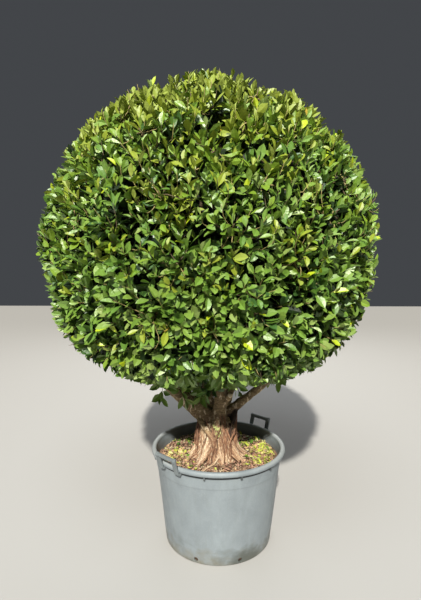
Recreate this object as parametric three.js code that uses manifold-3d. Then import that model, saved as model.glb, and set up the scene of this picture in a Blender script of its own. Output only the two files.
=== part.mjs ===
// A potted standard ficus: a clipped ball of foliage on a short trunk of fused roots, in a large
// round nursery pot with two lifting handles.
// Millimetres, +Z up. The origin is the middle of the pot's flat underside, and the front is -Y.

import * as THREE from "three";
import { mergeVertices } from "three/addons/utils/BufferGeometryUtils.js";
import { ConvexGeometry } from "three/addons/geometries/ConvexGeometry.js";
import Module from "manifold-3d";

const wasm = await Module();
wasm.setup();

// Driving dimensions
const GAP = 0.3; // clearance between separate pieces

const pot = {
  height: 515,
  baseRadius: 285,
  neckRadius: 339, // the wall's outer radius just under the rim
  rimRadius: 360,
  rollRadius: 14, // roundness of the rolled rim
  wall: 7,
  floor: 9,
  bandHeight: 432, // a shallow step runs round the wall here
  bandStep: 2.5,
  segments: 48,
};
const drains = { count: 8, radius: 11, height: 24, firstDeg: 22.5 };
const ribs = { count: 12, width: 8, reach: 12, root: 4, drop: 17 };
const handle = {
  azimuthDeg: 227, // the front left handle; the other one is opposite
  width: 138,
  leg: 25,
  gripRadius: 8,
  rise: 42, // grip above the rim
  leanDeg: 18,
  footDrop: 15,
  thickness: 10,
};
const soil = { level: 450, flatRadius: 222, fall: 4, sides: 36 };

const trunk = {
  centre: [-8, -4],
  waistRadius: 86,
  flareRadius: 124,
  flareHeight: 46, // how fast the flare dies out with height
  headHeight: 690,
  lobes: 5,
  sides: 18,
  steps: 7,
};
const strands = { count: 14, thick: 16, thin: 9, sides: 4, steps: 5, seed: 11 };

// Buttress roots: each one runs down the trunk and out over the soil.
const buttressTop = 600;
const buttresses = [
  { azimuthDeg: 200, reach: 186, radius: 25 },
  { azimuthDeg: 238, reach: 200, radius: 21 },
  { azimuthDeg: 282, reach: 170, radius: 18 },
  { azimuthDeg: 322, reach: 198, radius: 24 },
  { azimuthDeg: 15, reach: 160, radius: 20 },
  { azimuthDeg: 76, reach: 184, radius: 23 },
  { azimuthDeg: 130, reach: 172, radius: 20 },
];

// Boughs: each one leaves the trunk's fork towards azimuthDeg, climbing at riseDeg, and ends at
// `end`, where it enters the crown. foot and tip are its radii.
const boughs = [
  { name: "bough_left", azimuthDeg: 192, riseDeg: 44, fork: 640, end: [-390, -75], foot: 50, tip: 31 },
  { name: "bough_front", azimuthDeg: 292, riseDeg: 80, fork: 640, end: [25, -120], foot: 40, tip: 21 },
  { name: "bough_right", azimuthDeg: 10, riseDeg: 32, fork: 665, end: [420, 60], foot: 25, tip: 17 },
  { name: "bough_top", azimuthDeg: 150, riseDeg: 80, fork: 640, end: [-150, 90], foot: 33, tip: 25 },
  { name: "bough_back_left", azimuthDeg: 125, riseDeg: 46, fork: 640, end: [-235, 285], foot: 34, tip: 24 },
  { name: "bough_back_right", azimuthDeg: 58, riseDeg: 56, fork: 640, end: [165, 265], foot: 33, tip: 23 },
];
const boughEnd = 1040; // height of every bough's tip, just below the crown's core
const collar = 128; // length of each bough's foot that belongs to the trunk
const boughStart = 24; // distance of a bough's start from the trunk's middle
const boughPull = { foot: 170, tip: 120 }; // how far each end of a bough holds its direction
const tipRiseDeg = 72; // boughs have turned up this steeply at their tips
const limb = { sides: 8, steps: 5 };

const crown = {
  centre: [-52, 0, 1563],
  radius: 852,
  underside: 690, // how far below its centre the ball is clipped flat
  corner: 7, // sharpness of the turn from ball to flat underside
  ragged: 14, // how far a leaf tip may pass the outline
  leafDepth: 112, // how far the core lies inside the outline
  lowDepth: 66, // how much deeper it lies at the underside
  shell: 46, // thickness of the core, which is hollow
  openElevationDeg: -84, // the hollow is open below, near its middle
  sprays: 118,
  lowestSprayDeg: -65,
  seed: 5,
};
const leaf = {
  length: 158,
  widthShare: 0.52,
  widestShare: 0.47,
  edgeDrop: 0.025,
  ridge: 0.03,
  perSpray: 6,
  turnDeg: 137.5, // from each leaf to the next, round the twig
};
const twig = { footRadius: 8, tipRadius: 4.5, sunk: 26 };

// Small helpers
const lerp = THREE.MathUtils.lerp;
const up = new THREE.Vector3(0, 0, 1);
const crownCentre = new THREE.Vector3(...crown.centre);
const rad = (deg) => (deg * Math.PI) / 180;
const around = (deg, radius, z = 0) =>
  new THREE.Vector3(Math.cos(rad(deg)) * radius, Math.sin(rad(deg)) * radius, z);
const heading = (azimuthDeg, elevationDeg) =>
  around(azimuthDeg, Math.cos(rad(elevationDeg)), Math.sin(rad(elevationDeg)));

// Seeded random numbers from 0 to 1, the same on every run
function randomFrom(seed) {
  let state = seed >>> 0;
  return () => {
    state = (state + 0x6d2b79f5) >>> 0;
    let t = state;
    t = Math.imul(t ^ (t >>> 15), t | 1);
    t ^= t + Math.imul(t ^ (t >>> 7), t | 61);
    return ((t ^ (t >>> 14)) >>> 0) / 4294967296;
  };
}

// A closed geometry as a solid that can be joined and cut
function solid(geometry) {
  const bare = geometry.index ? geometry.toNonIndexed() : geometry.clone();
  bare.deleteAttribute("normal");
  bare.deleteAttribute("uv");
  const merged = mergeVertices(bare, 1e-4);
  const index = merged.index.array;
  const kept = [];
  for (let i = 0; i < index.length; i += 3) {
    const [a, b, c] = [index[i], index[i + 1], index[i + 2]];
    if (a !== b && b !== c && c !== a) kept.push(a, b, c);
  }
  const mesh = new wasm.Mesh({
    numProp: 3,
    vertProperties: new Float32Array(merged.attributes.position.array),
    triVerts: new Uint32Array(kept),
  });
  return new wasm.Manifold(mesh);
}

const joined = (solids) => wasm.Manifold.union(solids);

// The outer body of a solid: scraps and sealed hollows are left behind.
function outerBody(made) {
  const bodies = made.decompose();
  return bodies.reduce((best, body) => (body.volume() > best.volume() ? body : best));
}

function meshOf(name, made, look) {
  const data = made.getMesh();
  const geometry = new THREE.BufferGeometry();
  geometry.setAttribute("position", new THREE.BufferAttribute(data.vertProperties, 3));
  geometry.setIndex(new THREE.BufferAttribute(data.triVerts, 1));
  geometry.computeVertexNormals();
  const mesh = new THREE.Mesh(geometry, new THREE.MeshStandardMaterial(look));
  mesh.name = name;
  return mesh;
}

function lathe(profile, segments) {
  const points = profile.map(([r, z]) => new THREE.Vector2(r, z));
  return solid(new THREE.LatheGeometry(points, segments).rotateX(Math.PI / 2));
}

// A cylinder of one unit bent along a curve between two shares of its length. radiusAt gives its
// radius at each share, and its rings turn about `across`, which is square to the way it bends.
function limbAlong(curve, [from, to], radiusAt, across, sides, steps) {
  const geometry = new THREE.CylinderGeometry(1, 1, 1, sides, steps);
  const position = geometry.attributes.position;
  for (let i = 0; i < position.count; i++) {
    const share = lerp(from, to, position.getY(i) + 0.5);
    const radius = radiusAt(share);
    const tangent = curve.getTangentAt(share);
    const normal = tangent.clone().cross(across).normalize();
    const binormal = tangent.clone().cross(normal);
    const point = curve
      .getPointAt(share)
      .addScaledVector(normal, position.getX(i) * radius)
      .addScaledVector(binormal, -position.getZ(i) * radius);
    position.setXYZ(i, point.x, point.y, point.z);
  }
  return solid(geometry);
}

// Pot
const lipFoot = pot.height - 2 * pot.rollRadius;
const wallRadius = (z) => lerp(pot.baseRadius, pot.neckRadius, z / lipFoot);

function potProfile() {
  const rollCentre = [pot.rimRadius - pot.rollRadius, pot.height - pot.rollRadius];
  const roll = [-90, -45, 0, 45, 90].map((deg) => [
    rollCentre[0] + pot.rollRadius * Math.cos(rad(deg)),
    rollCentre[1] + pot.rollRadius * Math.sin(rad(deg)),
  ]);
  const innerMouth = wallRadius(lipFoot) - pot.wall;
  return [
    [0, 0],
    [pot.baseRadius - 9, 0],
    [pot.baseRadius, 9],
    [wallRadius(pot.bandHeight) - pot.bandStep, pot.bandHeight],
    [wallRadius(pot.bandHeight) + 1, pot.bandHeight + 6],
    [pot.neckRadius, lipFoot],
    ...roll,
    [innerMouth + 6, pot.height],
    [innerMouth, pot.height - 7],
    [wallRadius(pot.floor) - pot.wall, pot.floor],
    [0, pot.floor],
  ];
}

// The pot, with drain holes low in its wall and small ribs under its rim
function potSolid() {
  let made = lathe(potProfile(), pot.segments);
  const drill = solid(new THREE.CylinderGeometry(drains.radius, drains.radius, 60, 10));
  for (let i = 0; i < drains.count; i++) {
    const azimuth = drains.firstDeg + (i * 360) / drains.count;
    const place = around(azimuth, pot.baseRadius, drains.height);
    made = made.subtract(drill.rotate([0, 0, azimuth + 90]).translate([place.x, place.y, place.z]));
  }
  const ribHeight = lipFoot - ribs.drop / 2 + 1;
  const ribMiddle = pot.neckRadius + (ribs.reach - ribs.root) / 2;
  const rib = solid(new THREE.BoxGeometry(ribs.reach + ribs.root, ribs.width, ribs.drop));
  for (let i = 0; i < ribs.count; i++) {
    if (i % (ribs.count / 2) === 0) continue; // the handles clip on here
    const azimuth = handle.azimuthDeg + (i * 360) / ribs.count;
    const place = around(azimuth, ribMiddle, ribHeight);
    made = made.add(rib.rotate([0, 0, azimuth]).translate([place.x, place.y, place.z]));
  }
  return made;
}

// One leg of a handle, seen from the side: it hooks under the rim and leans outwards above it.
function legShape(face, waist) {
  const lean = Math.tan(rad(handle.leanDeg));
  const top = pot.height + handle.rise + handle.gripRadius * 0.7;
  const footFace = pot.neckRadius - 2.2;
  const shape = new THREE.Shape();
  shape.moveTo(footFace, lipFoot - GAP);
  shape.lineTo(pot.rimRadius - 4, lipFoot - GAP);
  shape.lineTo(face, waist - 8);
  shape.lineTo(face + lean * (top - waist), top);
  shape.lineTo(face + lean * (top - waist) + handle.thickness, top - 4);
  shape.lineTo(face + handle.thickness, waist - 6);
  shape.lineTo(face + handle.thickness - 2, lipFoot - 4);
  shape.lineTo(face - 7, lipFoot - handle.footDrop);
  shape.lineTo(footFace + 4, lipFoot - handle.footDrop + 6);
  shape.closePath();
  return shape;
}

// A handle facing +X: two legs and a round grip
function handleSolid() {
  const face = pot.rimRadius - 1.5; // the rim curves away from the legs, so this stays clear of it
  const waist = pot.height - pot.rollRadius;
  const depth = { depth: handle.leg, bevelEnabled: false };
  const leg = solid(new THREE.ExtrudeGeometry(legShape(face, waist), depth).rotateX(Math.PI / 2));
  const reach = handle.width / 2;
  const gripHeight = pot.height + handle.rise;
  const lean = Math.tan(rad(handle.leanDeg)) * (gripHeight - waist);
  const gripOut = face + lean + handle.thickness / 2;
  const rod = new THREE.CylinderGeometry(handle.gripRadius, handle.gripRadius, handle.width - 6, 10);
  return joined([
    leg.translate([0, reach, 0]),
    leg.translate([0, handle.leg - reach, 0]),
    solid(rod).translate([gripOut, 0, gripHeight]),
  ]);
}

// Soil and root ball, filling the pot to below its rim
function soilSolid() {
  const foot = pot.floor + GAP;
  const side = (z) => wallRadius(z) - pot.wall - pot.bandStep - GAP;
  const flat = soil.flatRadius;
  const edge = soil.level - soil.fall;
  const profile = [
    [0, foot],
    [side(foot), foot],
    [side(edge), edge],
    [flat, soil.level],
    [0, soil.level],
  ];
  return lathe(profile, soil.sides);
}

// The bough's whole line, from inside the trunk's fork to its tip under the crown
function boughCurve(b) {
  const middle = new THREE.Vector3(trunk.centre[0], trunk.centre[1], b.fork);
  const foot = middle.add(around(b.azimuthDeg, boughStart));
  const tip = new THREE.Vector3(...b.end, boughEnd);
  const tipAzimuth = Math.atan2(tip.y - foot.y, tip.x - foot.x);
  const tipWay = heading((tipAzimuth * 180) / Math.PI, tipRiseDeg);
  return new THREE.CubicBezierCurve3(
    foot,
    foot.clone().addScaledVector(heading(b.azimuthDeg, b.riseDeg), boughPull.foot),
    tip.clone().addScaledVector(tipWay, -boughPull.tip),
    tip,
  );
}

// A bough swells where it joins the trunk, and tapers evenly to its tip.
const boughRadius = (b, share) =>
  lerp(b.tip, b.foot, (1 - share) ** 1.25) * (1 + 0.2 * Math.exp(-share * 7));

function boughPiece(b, curve, from, to, steps) {
  const radiusAt = (share) => boughRadius(b, share);
  return limbAlong(curve, [from, to], radiusAt, heading(b.azimuthDeg + 90, 0), limb.sides, steps);
}

function boughSolid(b) {
  const curve = boughCurve(b);
  return boughPiece(b, curve, (collar + GAP) / curve.getLength(), 1, limb.steps);
}

// The foot of each bough, which is one with the trunk
function collarSolid(b) {
  const curve = boughCurve(b);
  return boughPiece(b, curve, 0, collar / curve.getLength(), 3);
}

// Trunk: a lobed, flared column, wrapped in strands of root
function trunkRadius(z, azimuth) {
  const flare = Math.exp(-(z - soil.level) / trunk.flareHeight);
  const lobe = 1 + (0.04 + 0.1 * flare) * Math.cos(trunk.lobes * azimuth + 0.6);
  return lerp(trunk.waistRadius, trunk.flareRadius, flare) * lobe;
}

const trunkPoint = (azimuth, out, z) =>
  new THREE.Vector3(
    trunk.centre[0] + Math.cos(azimuth) * out,
    trunk.centre[1] + Math.sin(azimuth) * out,
    z,
  );

function trunkColumn() {
  const foot = soil.level - 20;
  const geometry = new THREE.CylinderGeometry(1, 1, 1, trunk.sides, trunk.steps);
  const position = geometry.attributes.position;
  for (let i = 0; i < position.count; i++) {
    const [x, y, z] = [position.getX(i), position.getY(i), position.getZ(i)];
    const share = y + 0.5;
    const level = lerp(foot, trunk.headHeight, share);
    const azimuth = Math.atan2(-z, x);
    const closing = Math.sqrt(Math.max(0, 1 - Math.max(0, (share - 0.72) / 0.3) ** 2));
    const radius = trunkRadius(level, azimuth) * closing * Math.hypot(x, z);
    const point = trunkPoint(azimuth, radius, level);
    position.setXYZ(i, point.x, point.y, point.z);
  }
  return solid(geometry);
}

function rootAlong(points, azimuth, radiusAt, sides, steps) {
  const across = new THREE.Vector3(-Math.sin(azimuth), Math.cos(azimuth), 0);
  return limbAlong(new THREE.CatmullRomCurve3(points), [0, 1], radiusAt, across, sides, steps);
}

function buttressSolid({ azimuthDeg, reach, radius }) {
  const azimuth = rad(azimuthDeg);
  const side = trunk.waistRadius - radius * 0.35;
  const points = [
    trunkPoint(azimuth, side - 8, buttressTop),
    trunkPoint(azimuth, side, lerp(soil.level, buttressTop, 0.55)),
    trunkPoint(azimuth, lerp(side, reach, 0.38), soil.level + 34),
    trunkPoint(azimuth, lerp(side, reach, 0.8), soil.level + 7),
    trunkPoint(azimuth, reach, soil.level - 6),
  ];
  const radiusAt = (share) => radius * (0.45 + 0.75 * Math.sin(Math.PI * Math.min(1, share + 0.12)));
  return rootAlong(points, azimuth, radiusAt, 6, 6);
}

// A strand of root down the trunk's side, drifting round it and spreading at its foot
function strandSolid(random, i) {
  const azimuth = ((i + 0.5 * random()) / strands.count) * 2 * Math.PI;
  const drift = (random() - 0.5) * 0.7;
  const top = lerp(560, 655, random());
  const thickness = lerp(strands.thin, strands.thick, random());
  const spread = 0.1 + 0.3 * random();
  const points = [];
  for (let k = 0; k <= strands.steps; k++) {
    const share = k / strands.steps;
    const z = lerp(top, soil.level - 16, share);
    const a = azimuth + drift * share;
    points.push(trunkPoint(a, trunkRadius(z, a) * (1 + spread * share ** 4) - thickness * 0.25, z));
  }
  const radiusAt = (share) => thickness * (0.7 + 0.5 * share);
  return rootAlong(points, azimuth, radiusAt, strands.sides, strands.steps);
}

function trunkSolid() {
  const random = randomFrom(strands.seed);
  const pieces = [trunkColumn(), ...boughs.map(collarSolid), ...buttresses.map(buttressSolid)];
  for (let i = 0; i < strands.count; i++) {
    pieces.push(strandSolid(random, i));
  }
  const ground = solid(new THREE.BoxGeometry(900, 900, 200));
  const made = joined(pieces).subtract(ground.translate([0, 0, soil.level + GAP - 100]));
  return outerBody(made);
}

// Crown. Its outline is a ball, clipped flat below with a rounded corner.
function crownReach(way) {
  const toUnderside = crown.underside / Math.max(-way.z, 1e-6);
  return (crown.radius ** -crown.corner + toUnderside ** -crown.corner) ** (-1 / crown.corner);
}
const leafDepth = (way) => crown.leafDepth + crown.lowDepth * Math.max(0, -way.z) ** 2;
const coreReach = (way) => crownReach(way) - leafDepth(way);

// Whether a leaf's tip lies inside the crown's outline, or barely outside it
function inOutline(point) {
  const from = point.clone().sub(crownCentre);
  return from.length() < crownReach(from.clone().normalize()) + crown.ragged;
}

// Points along every bough, each with the radius there
const limbPoints = boughs.flatMap((b) => {
  const curve = boughCurve(b);
  return [...Array(25).keys()].map((i) => ({
    point: curve.getPointAt(i / 24),
    radius: boughRadius(b, i / 24),
  }));
});

// Whether a twig or leaf from root to tip, with its half width, stays clear of every bough
function clearOfBoughs(root, tip, halfWidth) {
  return [0.1, 0.3, 0.5, 0.7, 0.9].every((share) => {
    const place = root.clone().lerp(tip, share);
    return limbPoints.every(({ point, radius }) => point.distanceTo(place) > radius + halfWidth + 12);
  });
}

// The core is a hollow ball, open below, that the sprays stand out of.
function coreSolid() {
  const outer = [];
  const inner = [];
  const steps = 12;
  for (let i = 0; i <= steps; i++) {
    const way = heading(0, lerp(90, crown.openElevationDeg, i / steps));
    const out = coreReach(way);
    const deep = out - crown.shell;
    outer.push([way.x * out, crown.centre[2] + way.z * out]);
    inner.push([way.x * deep, crown.centre[2] + way.z * deep]);
  }
  outer[0][0] = 0;
  inner[0][0] = 0;
  return lathe([...inner, ...outer.reverse()], 20).translate([crown.centre[0], crown.centre[1], 0]);
}

// How deep a point lies under the core's outer face
function coreDepth(point) {
  const from = point.clone().sub(crownCentre);
  return coreReach(from.clone().normalize()) - from.length();
}

// The stem that goes straight on from a bough's tip into the core
function stemSolid(b) {
  const curve = boughCurve(b);
  const tip = curve.getPointAt(1);
  const way = curve.getTangentAt(1);
  const end = tip.clone();
  while (coreDepth(end) < crown.shell / 2) end.add(way);
  const line = new THREE.LineCurve3(tip.addScaledVector(way, GAP), end);
  return limbAlong(line, [0, 1], () => b.tip * 0.97, heading(b.azimuthDeg + 90, 0), limb.sides, 1);
}

// Evenly spread directions over the crown, each moved a little by the seed
function sprayWays(count, lowestDeg, random) {
  const turn = Math.PI * (3 - Math.sqrt(5));
  const lowest = Math.sin(rad(lowestDeg));
  const spacing = Math.sqrt(((1 - lowest) * 2 * Math.PI) / count);
  const ways = [];
  for (let i = 0; i < count; i++) {
    const z = 1 - ((i + 0.5) / count) * (1 - lowest);
    const flat = Math.sqrt(1 - z * z);
    const way = new THREE.Vector3(Math.cos(i * turn) * flat, Math.sin(i * turn) * flat, z);
    way.x += (random() - 0.5) * spacing * 0.35;
    way.y += (random() - 0.5) * spacing * 0.35;
    way.z += (random() - 0.5) * spacing * 0.2;
    ways.push(way.normalize());
  }
  return ways;
}

// A leaf with six faces, lying along +X with its root at the origin and its ridged face up
function leafSolid(length) {
  const side = (leaf.widthShare * length) / 2;
  const widest = leaf.widestShare * length;
  const drop = -leaf.edgeDrop * length;
  const corners = [
    new THREE.Vector3(0, 0, 0),
    new THREE.Vector3(widest, side, drop),
    new THREE.Vector3(widest, -side, drop),
    new THREE.Vector3(length, 0, drop),
    new THREE.Vector3(widest, 0, leaf.ridge * length),
  ];
  return solid(new ConvexGeometry(corners));
}

// Places a solid whose +X is to lie along `along`, and whose +Z as near `face` as it can.
function placed(made, root, along, face) {
  const x = along.clone().normalize();
  const y = face.clone().cross(x).normalize();
  const z = x.clone().cross(y);
  const m = new THREE.Matrix4().makeBasis(x, y, z).setPosition(root);
  return made.transform(m.elements);
}

// A spray's twig grows outwards, and turns up most at the crown's middle height.
function sprayGrowth(way) {
  const lift = 0.34 * (1 - Math.abs(way.z)) * Math.sign(way.z + 0.55);
  return way.clone().addScaledVector(up, lift).normalize();
}

// One spray: a three-sided twig out of the core, with leaves set round it in a spiral
function spraySolids(way, random, lengths) {
  const growth = sprayGrowth(way);
  const foot = crownCentre.clone().addScaledVector(way, coreReach(way) - twig.sunk);
  const length = twig.sunk + leafDepth(way) * lerp(0.5, 0.82, random());
  const tip = foot.clone().addScaledVector(growth, length);
  const rod = new THREE.CylinderGeometry(twig.tipRadius, twig.footRadius, length, 3, 1);
  const stem = solid(rod.rotateZ(-Math.PI / 2).translate(length / 2, 0, 0));
  const aside = Math.abs(growth.z) < 0.9 ? up : new THREE.Vector3(1, 0, 0);
  const side = growth.clone().cross(aside).normalize();
  const other = growth.clone().cross(side);
  const face = growth.clone().addScaledVector(up, 0.5);
  if (!clearOfBoughs(foot, tip, twig.footRadius)) return [];
  const made = [placed(stem, foot, growth, side)];
  const start = random() * 2 * Math.PI;
  for (let k = 0; k < leaf.perSpray; k++) {
    const share = k / (leaf.perSpray - 1);
    const angle = start + k * rad(leaf.turnDeg);
    const open = rad(lerp(74, 30, share) + (random() - 0.5) * 14);
    const out = side.clone().multiplyScalar(Math.cos(angle)).addScaledVector(other, Math.sin(angle));
    const along = growth.clone().multiplyScalar(Math.cos(open)).addScaledVector(out, Math.sin(open));
    const root = foot.clone().lerp(tip, lerp(0.42, 0.96, share));
    const longest = leaf.length * lerp(0.86, 1.1, random());
    const fitting = lengths.find((l) => {
      const end = root.clone().addScaledVector(along, l.length);
      const halfWidth = (leaf.widthShare * l.length) / 2;
      return l.length < longest && inOutline(end) && clearOfBoughs(root, end, halfWidth);
    });
    if (fitting) made.push(placed(fitting.made, root, along, face));
  }
  return made;
}

function crownSolid() {
  const random = randomFrom(crown.seed);
  const lengths = [1.1, 1, 0.9, 0.8, 0.7, 0.6].map((share) => {
    const length = leaf.length * share;
    return { length, made: leafSolid(length) };
  });
  const pieces = [coreSolid(), ...boughs.map(stemSolid)];
  for (const way of sprayWays(crown.sprays, crown.lowestSprayDeg, random)) {
    pieces.push(...spraySolids(way, random, lengths));
  }
  return outerBody(joined(pieces).simplify(0.05));
}

// Looks, from the photograph
const looks = {
  pot: { color: 0x8f979b, roughness: 0.62, metalness: 0 },
  handle: { color: 0x70777b, roughness: 0.6, metalness: 0 },
  soil: { color: 0x6b4a34, roughness: 0.95, metalness: 0 },
  bark: { color: 0x8a6a4c, roughness: 0.85, metalness: 0 },
  leaves: { color: 0x3f7a22, roughness: 0.4, metalness: 0 },
};

const group = new THREE.Group();
group.add(meshOf("pot", potSolid(), looks.pot));

const lifted = handleSolid();
const handles = [
  ["handle_front_left", handle.azimuthDeg],
  ["handle_back_right", handle.azimuthDeg - 180],
];
for (const [name, azimuth] of handles) {
  group.add(meshOf(name, lifted.rotate([0, 0, azimuth]), looks.handle));
}

group.add(meshOf("soil", soilSolid(), looks.soil));
group.add(meshOf("trunk", trunkSolid(), looks.bark));
for (const b of boughs) {
  group.add(meshOf(b.name, boughSolid(b), looks.bark));
}
group.add(meshOf("crown", crownSolid(), looks.leaves));

export default group;
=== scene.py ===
import math

import bpy
import numpy as np
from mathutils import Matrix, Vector, kdtree, noise


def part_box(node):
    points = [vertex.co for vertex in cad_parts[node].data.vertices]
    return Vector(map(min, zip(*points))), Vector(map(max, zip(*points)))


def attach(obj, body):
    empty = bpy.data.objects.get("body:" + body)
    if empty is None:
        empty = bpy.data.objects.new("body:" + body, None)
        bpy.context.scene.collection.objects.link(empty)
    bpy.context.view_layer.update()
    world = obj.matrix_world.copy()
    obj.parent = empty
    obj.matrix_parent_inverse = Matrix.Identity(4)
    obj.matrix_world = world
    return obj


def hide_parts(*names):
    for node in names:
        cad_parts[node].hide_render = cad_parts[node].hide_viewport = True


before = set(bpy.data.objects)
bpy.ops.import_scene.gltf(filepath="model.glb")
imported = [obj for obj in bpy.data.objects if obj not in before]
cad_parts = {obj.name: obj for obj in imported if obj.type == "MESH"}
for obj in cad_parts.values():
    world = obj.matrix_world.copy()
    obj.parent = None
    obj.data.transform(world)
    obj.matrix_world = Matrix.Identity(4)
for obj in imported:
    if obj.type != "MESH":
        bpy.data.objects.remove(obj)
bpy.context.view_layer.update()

# Driving dimensions
POT_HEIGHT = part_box("pot")[1].z
POT_BASE = 0.285  # outer radii of the pot's wall at its foot and just under the rim
POT_NECK = 0.339
POT_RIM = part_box("pot")[1].x
POT_WALL = 0.007
POT_FLOOR = 0.009
FOOT_ROUND = 0.009  # the radius of the edge at its foot
ROLL_HEIGHT = 0.028
LIP = {"hollow": 0.015, "thick": 0.006}  # the rolled rim is open below
BAND = {"height": 0.412, "in": 0.0012, "out": 0.001, "rise": 0.010}  # the shallow step round the wall
DRAINS = {"count": 8, "radius": 0.011, "height": 0.024, "first_deg": 22.5}
RIBS = {"count": 12, "first_deg": 229, "width": 0.008, "reach": 0.012, "drop": 0.020}
HANDLE = {
    "azimuth_deg": 228,
    "width": 0.138,
    "leg": 0.026,
    "grip": 0.0104,
    "rise": 0.042,
    "lean_deg": 18,
    "thickness": 0.010,
    "voxel": 0.0016,
}
DARK_PATCH = {"azimuth_deg": 299, "spread_deg": 23, "height": 0.100}  # where the foot is darker
SOIL_LEVEL = 0.450
SOIL_FALL = 0.004  # how much lower the soil lies at the pot's wall

TRUNK_CENTRE = np.array([-0.008, -0.004])
TRUNK = {"waist": 0.086, "flare": 0.124, "flare_height": 0.046, "head": 0.690, "lobes": 5}
BUTTRESS_TOP = 0.600
BUTTRESSES = [  # azimuth in degrees, reach, radius
    (200, 0.186, 0.025),
    (238, 0.200, 0.021),
    (282, 0.170, 0.018),
    (322, 0.198, 0.024),
    (15, 0.160, 0.020),
    (76, 0.184, 0.023),
    (130, 0.172, 0.020),
]
WEB_ROOTS = 40  # dark roots in the corner under the right bough, near-black partly as painted shade
GRAIN = {"across": 0.0024, "along": 0.030}  # how broad and how long the bark's fibres are
SKIN = {"voxel": 0.0022, "kept": 0.36}  # how fine the bark is fused, and the share of its faces kept
BOUGHS = {  # azimuth and rise in degrees, fork height, end, foot and tip radius, where it leads to
    "bough_left": (192, 44, 0.640, (-0.390, -0.075), 0.050, 0.031, (195, 12)),
    "bough_front": (292, 80, 0.640, (0.025, -0.120), 0.040, 0.021, (275, 18)),
    "bough_right": (10, 32, 0.665, (0.420, 0.060), 0.025, 0.017, (350, 8)),
    "bough_top": (150, 80, 0.640, (-0.150, 0.090), 0.033, 0.025, (120, 85)),
    "bough_back_left": (125, 46, 0.640, (-0.235, 0.285), 0.034, 0.024, (125, 10)),
    "bough_back_right": (58, 56, 0.640, (0.165, 0.265), 0.033, 0.023, (55, 12)),
}
BOUGH_END = 1.040
BOUGH_START = 0.024
BOUGH_PULL = (0.170, 0.120)  # how far each end of a bough holds its direction
TIP_RISE_DEG = 72

CROWN_CENTRE = np.array([-0.052, 0.0, 1.563])
CROWN_RADIUS = 0.852
CROWN_UNDERSIDE = 0.690
CROWN_CORNER = 7  # how tightly its side turns into its underside
SPRAY_DEPTH = 0.138  # how deep under the outline the sprays start
LOW_DEPTH = 0.066  # how much deeper they start at the underside
PARTING = {"azimuth_deg": 268, "width_deg": 9, "depth": 0.095}  # over the trunk's front
SPRAYS = {"count": 118, "lowest_deg": -65, "seed": 5}
OUTER = {  # the shoots that make the crown's face
    "count": 2900,
    "lowest_deg": -84,
    "seed": 8,
    "depth": 0.050,  # how deep under the outline a shoot ends
    "back": (-0.05, 0.08),  # where it leaves its spray
    "hollow_below": -0.92,  # few shoots grow where the field of hollows is lower than this
    "leaves": 9,
    "leafy": 0.100,  # how long its leafy end is
    "length": (0.048, 0.070),  # of a leaf
}
LOW = {"leaves": 9, "leafy": 0.100, "length": (0.056, 0.078)}  # drooping shoots near the fork
INNER = {  # sparser shoots behind them, which close the view through the crown
    "count": 1600,
    "lowest_deg": -68,
    "seed": 9,
    "depth": 0.150,
    "back": (-0.09, 0.02),
    "hollow_below": -math.inf,
    "leaves": 7,
    "leafy": 0.120,
    "length": (0.070, 0.098),
}
HUB_REACH = 0.40  # how far from the crown's middle each bough's leader ends
BRANCHES = {"leader": 0.009, "limb": 0.0085, "branch": 0.0055, "tip": 0.0022}  # radii
STEM = {"foot": 0.0024, "end": 0.0011, "point": 0.0004}  # radii along a shoot
LEAF_TURN_DEG = 137.5
MOST_LEAVES = 9000  # in one piece
RAGGED = 0.008  # how far a leaf tip may pass the crown's outline

CAMERA = {"place": (0.0, -2.380, 1.516), "down_deg": 5.24, "left_deg": 1.02, "lens": 27.0}

UP = np.array([0.0, 0.0, 1.0])
MASK = 0xFFFFFFFF  # 32 bits


# Small helpers
def lerp(a, b, share):
    return a + (b - a) * share


def ramp(values, low, high):
    """0 up to one value, 1 from another on, and evenly rising between them."""
    return np.clip((values - low) / (high - low), 0, 1)


def unit(vectors):
    return vectors / np.maximum(np.linalg.norm(vectors, axis=-1, keepdims=True), 1e-9)


def around(azimuth, radius, z=0.0):
    """A point at an azimuth, a distance from the Z axis and a height, or a row of them."""
    return np.stack(np.broadcast_arrays(np.cos(azimuth) * radius, np.sin(azimuth) * radius, z), -1)


def heading(azimuth_deg, elevation_deg):
    rise = math.radians(elevation_deg)
    return around(math.radians(azimuth_deg), math.cos(rise), math.sin(rise))


def random_from(seed):
    """Seeded random numbers from 0 to 1, the same on every run."""
    state = seed & MASK

    def draw():
        nonlocal state
        state = (state + 0x6D2B79F5) & MASK
        t = state
        t = ((t ^ (t >> 15)) * (t | 1)) & MASK
        t ^= (t + (((t ^ (t >> 7)) * (t | 61)) & MASK)) & MASK
        return ((t ^ (t >> 14)) & MASK) / 4294967296

    return draw


def waves(points, size, seed):
    """A smooth field from about -1 to 1 over the points, with bumps about `size` across."""
    count = 14
    rng = np.random.default_rng(seed)
    ways = unit(rng.normal(size=(count, 3))) * rng.uniform(0.7, 1.4, (count, 1)) * math.pi / size
    phases = rng.uniform(0, 2 * math.pi, count)
    return np.sin(np.asarray(points) @ ways.T + phases).sum(-1) / math.sqrt(count)


def bezier(start, pull_start, pull_end, end, shares):
    """Points at the given shares of each curve, as rows of points."""
    s = np.asarray(shares)[..., None]
    a, b, c, d = (np.asarray(p)[..., None, :] for p in (start, pull_start, pull_end, end))
    return a * (1 - s) ** 3 + 3 * b * s * (1 - s) ** 2 + 3 * c * s**2 * (1 - s) + d * s**3


def even_points(points, count):
    """The same line, with `count` evenly spaced points."""
    steps = np.linalg.norm(np.diff(points, axis=0), axis=1)
    length = np.concatenate([[0], np.cumsum(steps)])
    places = np.linspace(0, length[-1], count)
    return np.stack([np.interp(places, length, points[:, i]) for i in range(3)], axis=1)


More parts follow.
